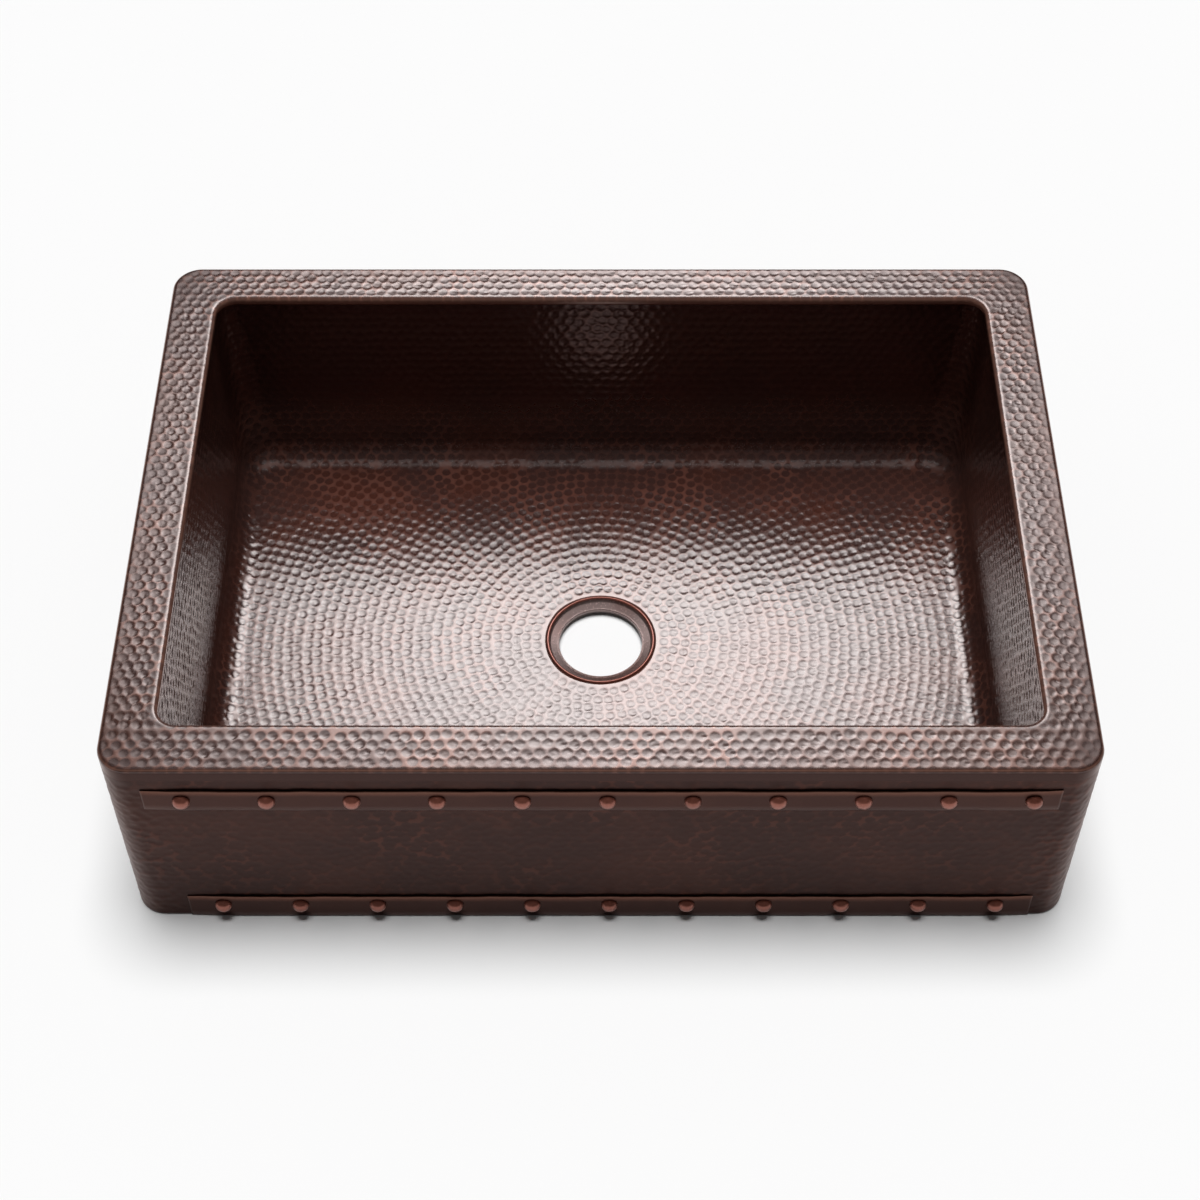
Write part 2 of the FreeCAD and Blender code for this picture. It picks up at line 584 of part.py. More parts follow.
def makeRivets(label, level, shift, pitch):
    # Eleven rivets in a row: domed head on the strap, shank through both sheets, closed tail behind.
    body = newBody(label)
    body.setExpression("Placement.Base.x", shift + " - 5 * " + pitch)
    body.setExpression("Placement.Base.z", level)
    section = newSketch(body, label + "_section", "YZ_Plane")
    face = "-sizes.half_depth - sizes.strap_gap - sizes.strap_thickness"
    behind = "-sizes.half_depth + sizes.sheet_thickness"
    a, h = amount("sizes.head_radius"), amount("sizes.head_height")
    ball = (a * a + h * h) / (2 * h)
    y, b = amount(face), amount(behind)
    s, k, g = amount("sizes.shank_radius"), amount("sizes.tail_radius"), amount("sizes.tail_height")
    apex, rim = (y - h, 0), (y, a)
    circle = Part.Circle(point(y - h + ball, 0), FreeCAD.Vector(0, 0, 1), ball)
    start = math.atan2(rim[1], rim[0] - (y - h + ball))
    dome = Part.ArcOfCircle(circle, start, math.pi)
    spots = [rim, (y, s), (b, s), (b, k), (b + g, k * 0.7), (b + g, 0), apex]
    sides = [Part.LineSegment(point(*spots[i]), point(*spots[i + 1])) for i in range(6)]
    section.addGeometry([dome] + sides, False)
    add = section.addConstraint
    add(Sketcher.Constraint("Coincident", 0, 1, 1, 1))
    for i in range(1, 6):
        add(Sketcher.Constraint("Coincident", i, 2, i + 1, 1))
    add(Sketcher.Constraint("Coincident", 6, 2, 0, 2))
    add(Sketcher.Constraint("PointOnObject", 0, 3, -1))
    places = [(face, "sizes.head_radius"), (face, "sizes.shank_radius"), (behind, "sizes.shank_radius"),
              (behind, "sizes.tail_radius"), (behind + " + sizes.tail_height", "sizes.tail_radius * 0.7")]
    for i, (across, up) in enumerate(places, start=1):
        bind(section, "DistanceX", -1, 1, i, 1, across)
        bind(section, "DistanceY", -1, 1, i, 1, up)
    add(Sketcher.Constraint("PointOnObject", 6, 1, -1))
    add(Sketcher.Constraint("PointOnObject", 6, 2, -1))
    bind(section, "DistanceX", -1, 1, 6, 1, behind + " + sizes.tail_height")
    bind(section, "DistanceX", -1, 1, 6, 2, face + " - sizes.head_height")
    turned = body.newObject("PartDesign::Revolution", label + "_turned")
    turned.Profile = section
    turned.ReferenceAxis = (section, ["H_Axis"])
    turned.Angle = 360
    section.Visibility = False
    doc.recompute()
    rowOfEleven(body, label + "_row", turned, pitch)
    return body


def checkDocument():
    doc.recompute()
    for item in doc.Objects:
        wrong = [word for word in item.State if word in ("Invalid", "Error")]
        if wrong:
            raise ValueError(item.Label + " is " + ", ".join(wrong))


def writeParts(nodes):
    os.makedirs("parts", exist_ok=True)
    for node in nodes:
        shape = node.Shape
        if shape.isNull() or not shape.isValid():
            raise ValueError(node.Label + " has no valid shape")
        shape.exportStep("parts/%s.step" % node.Label)
        box = shape.BoundBox
        corners = (box.XMin, box.YMin, box.ZMin, box.XMax, box.YMax, box.ZMax)
        print("%-24s solids %2d  volume %9.0f " % (node.Label, len(shape.Solids), shape.Volume),
              "%7.1f %7.1f %7.1f to %7.1f %7.1f %7.1f" % corners)


writeSizes()
nodes = makeRimStrips(makeRimForm())
nodes += makeBowlCorners(makeBowlForm())
nodes += makeWalls()
nodes += [makeFloor(), makeDrainSeat()]
nodes += makeApronAndSkirts()
nodes.append(makeStrap("strap_upper", "sizes.upper_length", "sizes.upper_middle", "sizes.upper_height",
                       UPPER[0] + " - sizes.upper_height / 2", *UPPER))
nodes.append(makeStrap("strap_lower", "sizes.lower_length", "sizes.lower_middle", "sizes.lower_height",
                       "sizes.lower_foot", *LOWER))
nodes.append(makeRivets("rivets_upper", *UPPER))
nodes.append(makeRivets("rivets_lower", *LOWER))
checkDocument()
writeParts(nodes)
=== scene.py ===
import bpy
import math
import random
import numpy as np
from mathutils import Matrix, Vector


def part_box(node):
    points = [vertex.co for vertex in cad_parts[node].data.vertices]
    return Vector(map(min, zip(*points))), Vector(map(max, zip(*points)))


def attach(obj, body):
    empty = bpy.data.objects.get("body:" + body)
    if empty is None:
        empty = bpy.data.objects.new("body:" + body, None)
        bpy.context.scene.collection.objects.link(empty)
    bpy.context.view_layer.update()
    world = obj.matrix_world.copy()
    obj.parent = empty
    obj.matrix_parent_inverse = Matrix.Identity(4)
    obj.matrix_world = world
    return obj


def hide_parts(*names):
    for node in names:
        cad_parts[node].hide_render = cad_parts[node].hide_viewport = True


# Hammered copper farmhouse sink: the sheets are dense meshes, dished by hammer marks in Geometry Nodes.
# Metres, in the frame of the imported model; the dictionaries hold millimetres.

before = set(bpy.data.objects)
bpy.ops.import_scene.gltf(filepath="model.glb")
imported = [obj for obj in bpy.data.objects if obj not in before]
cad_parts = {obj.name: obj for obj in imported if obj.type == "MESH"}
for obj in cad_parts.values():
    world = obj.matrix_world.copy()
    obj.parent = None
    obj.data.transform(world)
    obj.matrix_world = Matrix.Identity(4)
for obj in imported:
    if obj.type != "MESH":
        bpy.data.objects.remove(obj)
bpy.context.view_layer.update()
mm = 0.001


def lowHigh(*nodes):
    # The box round several nodes of the frame, in millimetres.
    boxes = [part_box(node) for node in nodes]
    low = [min(box[0][i] for box in boxes) / mm for i in range(3)]
    high = [max(box[1][i] for box in boxes) / mm for i in range(3)]
    return low, high


deckLow, deckHigh = lowHigh("rim_front", "rim_back", "rim_left", "rim_right")
wallFrontLow, wallFrontHigh = lowHigh("bowl_wall_front")
wallBackHigh, wallRightHigh = lowHigh("bowl_wall_back")[1], lowHigh("bowl_wall_right")[1]
seatLow, seatHigh = lowHigh("drain_seat")
middleY = (deckLow[1] + deckHigh[1]) / 2
drainY = (seatLow[1] + seatHigh[1]) / 2
print("frame loaded")


def linear(text):
    # An sRGB hex value as linear RGBA.
    parts = [int(text[i:i + 2], 16) / 255 for i in (1, 3, 5)]
    return [p / 12.92 if p <= 0.04045 else ((p + 0.055) / 1.055) ** 2.4 for p in parts] + [1]


def addNode(tree, kind, settings=None, **inputs):
    # Adds a node; inputs are named by socket, with _ for a space and a number for an unnamed one.
    node = tree.nodes.new(kind)
    for name, value in (settings or {}).items():
        setattr(node, name, value)
    for name, value in inputs.items():
        key = int(name[1:]) if name[0] == "i" and name[1:].isdigit() else name.replace("_", " ")
        socket = node.inputs[key]
        if isinstance(value, bpy.types.NodeSocket):
            tree.links.new(value, socket)
        else:
            socket.default_value = value
    return node


def calc(tree, operation, one, two, **settings):
    # The result of one step of sums.
    return addNode(tree, "ShaderNodeMath", {"operation": operation, **settings}, i0=one, i1=two).outputs[0]


def rescale(tree, value, low, high, edges=None):
    # 0 to 1 stretched to low to high; with edges, an eased rise from the one edge to the other.
    start, end = edges or (0.0, 1.0)
    return addNode(tree, "ShaderNodeMapRange", {"interpolation_type": "SMOOTHSTEP" if edges else "LINEAR"},
                   Value=value, From_Min=start, From_Max=end, To_Min=low, To_Max=high).outputs[0]


def newFinish(name):
    # An empty material and its tree.
    material = bpy.data.materials.new(name)
    material.use_nodes = True
    material.node_tree.nodes.clear()
    return material, material.node_tree


def makeMesh(name, points, faces, attributes=None):
    # A smooth mesh in the scene; points in metres, attributes one value or one vector to a point.
    mesh = bpy.data.meshes.new(name)
    mesh.from_pydata(points.tolist(), [], faces)
    for key, values in (attributes or {}).items():
        if values.ndim == 1:
            layer = mesh.attributes.new(key, "FLOAT", "POINT")
            layer.data.foreach_set("value", values.astype(np.float32))
        else:
            layer = mesh.attributes.new(key, "FLOAT_VECTOR", "POINT")
            layer.data.foreach_set("vector", values.astype(np.float32).ravel())
    mesh.shade_smooth()
    piece = bpy.data.objects.new(name, mesh)
    bpy.context.scene.collection.objects.link(piece)
    return piece


def sheetFaces(rows, columns, offset=0, flip=False):
    # The four-sided faces between the points of a grid.
    r, c = np.meshgrid(np.arange(rows - 1), np.arange(columns - 1), indexing="ij")
    a = r * columns + c + offset
    quads = np.stack([a, a + 1, a + columns + 1, a + columns], -1).reshape(-1, 4)
    return quads[:, ::-1] if flip else quads


def closedSheet(name, top, normal, strength, thickness, coarse=4, oxide=None):
    # A hammered face, a plainer face a sheet's thickness behind it, and edges between the two.
    # The hidden face keeps all its oxide.
    # top and normal: rows x columns x 3. Rows and columns are a multiple of coarse, plus one.
    rows, columns = top.shape[:2]
    under = (top - normal * thickness)[::coarse, ::coarse]
    lowRows, lowColumns = under.shape[:2]
    start, hidden = rows * columns, lowRows * lowColumns
    front = sheetFaces(rows, columns)
    back = sheetFaces(lowRows, lowColumns, start, flip=True)

    def fine(r, c):
        return r * columns + c

    def rough(r, c):
        return start + r * lowColumns + c
    edges = []
    for i in range(lowColumns - 1):
        near = [fine(0, i * coarse + k) for k in range(coarse + 1)]
        far = [fine(rows - 1, i * coarse + k) for k in range(coarse + 1)]
        edges.append(near[::-1] + [rough(0, i), rough(0, i + 1)])
        edges.append(far + [rough(lowRows - 1, i + 1), rough(lowRows - 1, i)])
    for i in range(lowRows - 1):
        near = [fine(i * coarse + k, 0) for k in range(coarse + 1)]
        far = [fine(i * coarse + k, columns - 1) for k in range(coarse + 1)]
        edges.append(near + [rough(i + 1, 0), rough(i, 0)])
        edges.append(far[::-1] + [rough(i, lowColumns - 1), rough(i + 1, lowColumns - 1)])
    points = np.concatenate([top.reshape(-1, 3), under.reshape(-1, 3)])
    normals = np.concatenate([normal.reshape(-1, 3), normal[::coarse, ::coarse].reshape(-1, 3)])
    seen = np.zeros((rows, columns)) if oxide is None else oxide
    return makeMesh(name, points * mm, front.tolist() + back.tolist() + edges,
                    {"outward": normals, "strength": np.concatenate([strength.ravel(), np.zeros(hidden)]),
                     "oxide": np.concatenate([seen.ravel(), np.ones(hidden)])})


def gridNormals(points):
    # Unit normals of a grid of points, from its rows and columns.
    across, along = np.gradient(points, axis=1), np.gradient(points, axis=0)
    normal = np.cross(across, along)
    return normal / np.maximum(np.linalg.norm(normal, axis=-1, keepdims=True), 1e-9)


def blendBetween(value, low, high):
    # 0 up to low, 1 from high on, and an eased rise between.
    t = np.clip((value - low) / (high - low), 0, 1)
    return t * t * (3 - 2 * t)


def markCentres(name, points):
    # The middles of the hammer marks, as loose points that only the node tree reads.
    mesh = bpy.data.meshes.new(name)
    mesh.from_pydata([tuple(p * mm) for p in points], [], [])
    return bpy.data.objects.new(name, mesh)


def newShapeTree(name, inputs, result):
    # An empty Geometry Nodes tree with its named inputs and its one result, and the node that gives the inputs.
    tree = bpy.data.node_groups.new(name, "GeometryNodeTree")
    for label, kind in inputs.items():
        tree.interface.new_socket(label, in_out="INPUT", socket_type="NodeSocket" + kind)
    tree.interface.new_socket(result, in_out="OUTPUT", socket_type="NodeSocketGeometry")
    return tree, addNode(tree, "NodeGroupInput")


def closeShapeTree(tree, geometry, finish, result):
    # Real geometry with its finish on it, as the export needs.
    solid = addNode(tree, "GeometryNodeRealizeInstances", Geometry=geometry)
    done = addNode(tree, "GeometryNodeSetMaterial", Geometry=solid.outputs["Geometry"], Material=finish)
    tree.links.new(done.outputs["Geometry"], addNode(tree, "NodeGroupOutput").inputs[result])


hammer = {"reach": (0.88, 1.02), "leastDepth": 0.6}  # shares of the mark's radius and depth, from blow to blow


def makeHammerTree():
    # Each mark is a shallow, flat-bottomed dish round its centre, leaning a little its own way; where two
    # dishes meet they leave a ridge. The white noise takes the centre's place, so it is the same in each run.
    tree, source = newShapeTree("hammerMarks", {"Sheet": "Geometry", "Mark centres": "Object", "Mark radius": "Float",
                                                "Mark depth": "Float", "Mark tilt": "Float", "Finish": "Material"},
                                "Sheet")
    given = source.outputs
    centres = addNode(tree, "GeometryNodeObjectInfo", {"transform_space": "ORIGINAL"}, Object=given["Mark centres"])
    nearest = addNode(tree, "GeometryNodeProximity", {"target_element": "POINTS"},
                      Geometry=centres.outputs["Geometry"])
    away, spot = nearest.outputs["Distance"], nearest.outputs["Position"]
    chance = addNode(tree, "ShaderNodeTexWhiteNoise", {"noise_dimensions": "3D"}, Vector=spot).outputs
    reach = rescale(tree, chance["Value"], *hammer["reach"])
    share = calc(tree, "DIVIDE", away, calc(tree, "MULTIPLY", reach, given["Mark radius"]))
    square = calc(tree, "MULTIPLY", share, share)
    dish = calc(tree, "SUBTRACT", 1.0, calc(tree, "MULTIPLY", square, square), use_clamp=True)
    uneven = rescale(tree, chance["Value"], hammer["leastDepth"], 1.0)
    strength = addNode(tree, "GeometryNodeInputNamedAttribute", {"data_type": "FLOAT"}, Name="strength")
    local = calc(tree, "MULTIPLY", calc(tree, "MULTIPLY", dish, uneven), strength.outputs["Attribute"])
    depth = calc(tree, "MULTIPLY", local, given["Mark depth"])
    here = addNode(tree, "GeometryNodeInputPosition")
    across = addNode(tree, "ShaderNodeVectorMath", {"operation": "SUBTRACT"}, i0=here.outputs[0], i1=spot)
    lean = addNode(tree, "ShaderNodeVectorMath", {"operation": "SUBTRACT"}, i0=chance["Color"], i1=(0.5, 0.5, 0.5))
    tilt = addNode(tree, "ShaderNodeVectorMath", {"operation": "DOT_PRODUCT"}, i0=across.outputs[0],
                   i1=lean.outputs[0])
    aslant = calc(tree, "MULTIPLY", calc(tree, "MULTIPLY", tilt.outputs["Value"], given["Mark tilt"]), local)
    inward = calc(tree, "MULTIPLY", calc(tree, "ADD", depth, aslant), -1.0)
    outward = addNode(tree, "GeometryNodeInputNamedAttribute", {"data_type": "FLOAT_VECTOR"}, Name="outward")
    shift = addNode(tree, "ShaderNodeVectorMath", {"operation": "SCALE"}, Vector=outward.outputs["Attribute"],
                    Scale=inward)
    moved = addNode(tree, "GeometryNodeSetPosition", Geometry=given["Sheet"], Offset=shift.outputs[0])
    kept = addNode(tree, "GeometryNodeStoreNamedAttribute", {"data_type": "FLOAT", "domain": "POINT"},
                   Geometry=moved.outputs["Geometry"], Name="ridge", Value=square)
    closeShapeTree(tree, kept.outputs["Geometry"], given["Finish"], "Sheet")
    return tree


def applyTree(piece, tree, **values):
    # Runs a node tree on a piece and keeps the result as its plain mesh.
    modifier = piece.modifiers.new(tree.name, "NODES")
    modifier.node_group = tree
    for item in tree.interface.items_tree:
        key = item.name.replace(" ", "_")
        if item.item_type == "SOCKET" and item.in_out == "INPUT" and key in values:
            modifier[item.identifier] = values[key]
    shape = piece.evaluated_get(bpy.context.evaluated_depsgraph_get())
    plain = bpy.data.meshes.new_from_object(shape)
    piece.modifiers.remove(modifier)
    old = piece.data
    piece.data = plain
    bpy.data.meshes.remove(old)
    plain.name = piece.name


def joinNormals(pieces, level=None):
    # Pieces that meet along a seam share their normals there, so that the weld doesn't show. An edge at
    # the given level keeps level normals, so that the face runs on into the piece below.
    fineness = 1e5  # points less than a hundredth of a millimetre apart are taken as one
    spots = []
    for piece in pieces:
        mesh = piece.data
        count = len(mesh.vertices)
        points = np.empty(count * 3, np.float32)
        normals = np.empty(count * 3, np.float32)
        mesh.vertices.foreach_get("co", points)
        mesh.vertices.foreach_get("normal", normals)
        spots.append((np.round(points.reshape(-1, 3) * fineness).astype(np.int64), normals.reshape(-1, 3)))
    keys = np.concatenate([spot[0] for spot in spots])
    normals = np.concatenate([spot[1] for spot in spots])
    found, index = np.unique(keys, axis=0, return_inverse=True)
    index = index.ravel()
    summed = np.zeros((len(found), 3))
    np.add.at(summed, index, normals)
    if level is not None:
        flat = ((np.abs(found[:, 2] / fineness - level * mm) < 0.1 * mm)
                & (np.hypot(summed[:, 0], summed[:, 1]) > 0.3))
        summed[flat, 2] = 0
    summed /= np.maximum(np.linalg.norm(summed, axis=1, keepdims=True), 1e-9)
    start = 0
    for piece, spot in zip(pieces, spots):
        count = len(spot[0])
        piece.data.normals_split_custom_set_from_vertices(summed[index[start:start + count]].tolist())
        start += count


def seatPiece(piece, slot, *nodes):
    # Every piece stands still on the root body, in place of its own nodes of the frame.
    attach(piece, "root")
    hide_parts(*nodes)


patina = {
    "cloudSize": 110, "cloudEdges": (0.42, 0.66), "cloudShare": 0.85,  # stains as wide as a palm
    "rubSize": 60, "rubEdges": (0.42, 0.62), "rubLeast": 0.3,  # ridges rubbed in drifts, never all alike
    "grainSize": 2.2, "grainShade": 0.2, "grainRough": 0.05,  # coarser than real oxide grain, so that it shows
    "ridgeEdges": (0.5, 1.3), "wornMetal": 0.55, "oxideMetal": 0.9, "sheen": "#fff3f0",
}


def copperFinish(name, dish, ridge, stain, rough, metallic=0.08, wax=1, bare="#c08a76", dark="#321d19"):
    # Copper under an oxide patina: grey-brown in the dishes, rubbed paler on the ridges, bare copper where
    # hands and cloths wear the bends, and laid on as a painted highlight along the straps' upper edges;
    # near-black where the oxide was left thick, and laid on as painted shade on the deck corners and high
    # on the back wall. wax is the clear film on it.
    material, tree = newFinish(name)
    place = addNode(tree, "ShaderNodeTexCoord").outputs["Object"]
    cloud = addNode(tree, "ShaderNodeTexNoise", Vector=place, Scale=1 / (patina["cloudSize"] * mm), Detail=4.0,
                    Roughness=0.6)
    patches = rescale(tree, cloud.outputs["Fac"], 0.0, patina["cloudShare"], patina["cloudEdges"])
    grain = addNode(tree, "ShaderNodeTexNoise", Vector=place, Scale=1 / (patina["grainSize"] * mm), Detail=3.0)
    fine = grain.outputs["Fac"]
    marked = addNode(tree, "ShaderNodeAttribute", {"attribute_name": "ridge"})
    high = rescale(tree, marked.outputs["Fac"], 0.0, 1.0, patina["ridgeEdges"])
    drift = addNode(tree, "ShaderNodeTexNoise", Vector=place, Scale=1 / (patina["rubSize"] * mm), Detail=2.0)
    often = rescale(tree, drift.outputs["Fac"], patina["rubLeast"], 1.0, patina["rubEdges"])
    rub = calc(tree, "MULTIPLY", high, often)
    # the wear attribute also holds a painted highlight along the straps' upper edges, and the oxide attribute also
    # holds painted shade on the deck corners and high on the back wall
    wearAndHighlightShare = addNode(tree, "ShaderNodeAttribute", {"attribute_name": "wear"}).outputs["Fac"]
    thick = addNode(tree, "ShaderNodeAttribute", {"attribute_name": "oxide"}).outputs["Fac"]
    colour = linear(dish)
    for tint, share in ((stain, patches), (ridge, rub), (bare, wearAndHighlightShare), (dark, thick)):
        colour = addNode(tree, "ShaderNodeMix", {"data_type": "RGBA"}, i0=share, i6=colour, i7=linear(tint)).outputs[2]
    shade, spread = patina["grainShade"], patina["grainRough"]
    speckle = rescale(tree, fine, 1 - shade, 1 + shade)
    spotted = addNode(tree, "ShaderNodeVectorMath", {"operation": "SCALE"}, i0=colour, Scale=speckle)
    gloss = rescale(tree, fine, rough - spread, rough + spread)
    bright = rescale(tree, wearAndHighlightShare, metallic, patina["wornMetal"])
    metal = calc(tree, "MAXIMUM", bright, calc(tree, "MULTIPLY", thick, patina["oxideMetal"]))
    film = rescale(tree, thick, wax, 0.0)
    surface = addNode(tree, "ShaderNodeBsdfPrincipled", Metallic=metal, Coat_Weight=film, Coat_Roughness=rough,
                      Specular_Tint=linear(patina["sheen"]), Base_Color=spotted.outputs[0], Roughness=gloss)
    addNode(tree, "ShaderNodeOutputMaterial", Surface=surface.outputs[0])
    return material


# hammered sheet, oxidised brown and waxed: a clear wet shine over dark dishes and pinker ridges; its dark tint,
# besides the hidden undersides and the turned-down edge, is laid on as painted shade at the corners
deckCopper = copperFinish("hammeredDeckCopper", "#46312e", "#7d5448", "#48291f", 0.22, bare="#c8917c")
# the same sheet and wax inside the bowl, a shade deeper; its dark tint, besides the hidden undersides, is laid on as
# painted shade high on the back wall
bowlCopper = copperFinish("hammeredBowlCopper", "#3c2622", "#5e3a31", "#48261d", 0.22, bare="#c8917c",
                          dark="#4a2c24")
# copper left in its dark oxide, unwaxed: a brown-black metal with a wide, low sheen
apronCopper = copperFinish("oxidisedApronCopper", "#2a1511", "#40221a", "#351b14", 0.34, metallic=0.9, wax=0)
strapCopper = copperFinish("oxidisedStrapCopper", "#341a14", "#42271f", "#3c2018", 0.32, metallic=0.9, wax=0)
# rivet heads rubbed back to the copper: the one warm, pink note on the front
rivetCopper = copperFinish("rubbedRivetCopper", "#95594a", "#c08a76", "#7c4638", 0.3, metallic=0.6, wax=0.3)
# copper turned on a lathe and toned: a greyer, satin ring with a red crown
drainCopper = copperFinish("turnedDrainCopper", "#7e6b68", "#8a5a48", "#6a4c46", 0.26, metallic=0.6, wax=0.3,
                           bare="#6e3526")
hammerTree = makeHammerTree()
print("finishes ready")


def roundedOutline(half, front, back, radius, straight, arc):
    # Points and outward directions round a rectangle with round corners, starting at the middle of the
    # front and going towards +X. straight: (front and back, sides) counts; arc: count for each corner.
    wide, deep = straight
    middle = (0, front, 0, -1)
    stops, previous = [middle], middle

    def addLine(start, end, count):
        for k in range(1, count):
            t = k / count
            stops.append((start[0] * (1 - t) + end[0] * t, start[1] * (1 - t) + end[1] * t, start[2], start[3]))
    for x, y, turn, count in ((half - radius, front + radius, -90, wide // 2), (half - radius, back - radius, 0, deep),
                              (radius - half, back - radius, 90, wide), (radius - half, front + radius, 180, deep)):
        corner = [(x + radius * math.cos(a), y + radius * math.sin(a), math.cos(a), math.sin(a))
                  for a in (math.radians(degrees) for degrees in np.linspace(turn, turn + 90, arc + 1))]
        addLine(previous, corner[0], count)
        stops += corner
        previous = corner[-1]
    addLine(previous, middle, wide // 2)
    return np.array(stops)[:, :2], np.array(stops)[:, 2:]


deck = {
    "cornerRadius": 29, "edgeBend": 4, "lipBend": 4.5, "lipCorner": 20, "sheet": 1.6,
    "openingHalf": deckHigh[0] - 49.5, "openingFront": deckLow[1] + 52.2, "openingBack": deckHigh[1] - 47.2,
    "edgeFoot": deckLow[2], "lipFoot": 245.5, "top": deckHigh[2], "lipTuck": 1.4,
    "columns": (680, 480, 24), "rows": 36, "edgeRows": 7, "bendRows": 9, "lipBendRows": 6, "lipRows": 4,
    "markPitch": 10.9, "frontPitch": 12.2, "markRadius": 5.6, "markDepth": 0.42, "markTilt": 0.1, "seed": 7,
    "jitter": 0.06, "frontCloseness": 0.8, "frontGap": 2, "stripGap": 5, "markMargin": (5, 6),
    "bendMark": 0.4, "lipMark": 0.3, "markRise": 4,  # how strongly the marks show towards the two bends
    "edgeWear": 0.5, "wearMiddle": 0.55, "wearSpread": 0.16, "oxideFall": 2.2, "lipWear": 0.4,  # along the bends
    # the last value is painted shade that darkens the deck towards its corners
    "cornerFrom": (360, 240), "cornerReach": 120, "cornerMarkFrom": 60, "cornerMark": 0.6, "cornerOxide": 0.45,
}


def latticeCentres(rng, low, high, pitch, jitter, keep, closeness=0.87):
    # Staggered rows of marks, each struck a little off its place.
    centres = []
    rows = int((high[1] - low[1]) / (pitch * closeness)) + 2
    for r in range(rows):
        x = low[0] - pitch * (0.5 if r % 2 else 0)
        while x < high[0] + pitch:
            spot = (x + rng.gauss(0, jitter) * pitch,
                    low[1] + r * pitch * closeness + rng.gauss(0, jitter) * pitch)
            if keep(*spot):
                centres.append(spot)
            x += pitch
    return centres


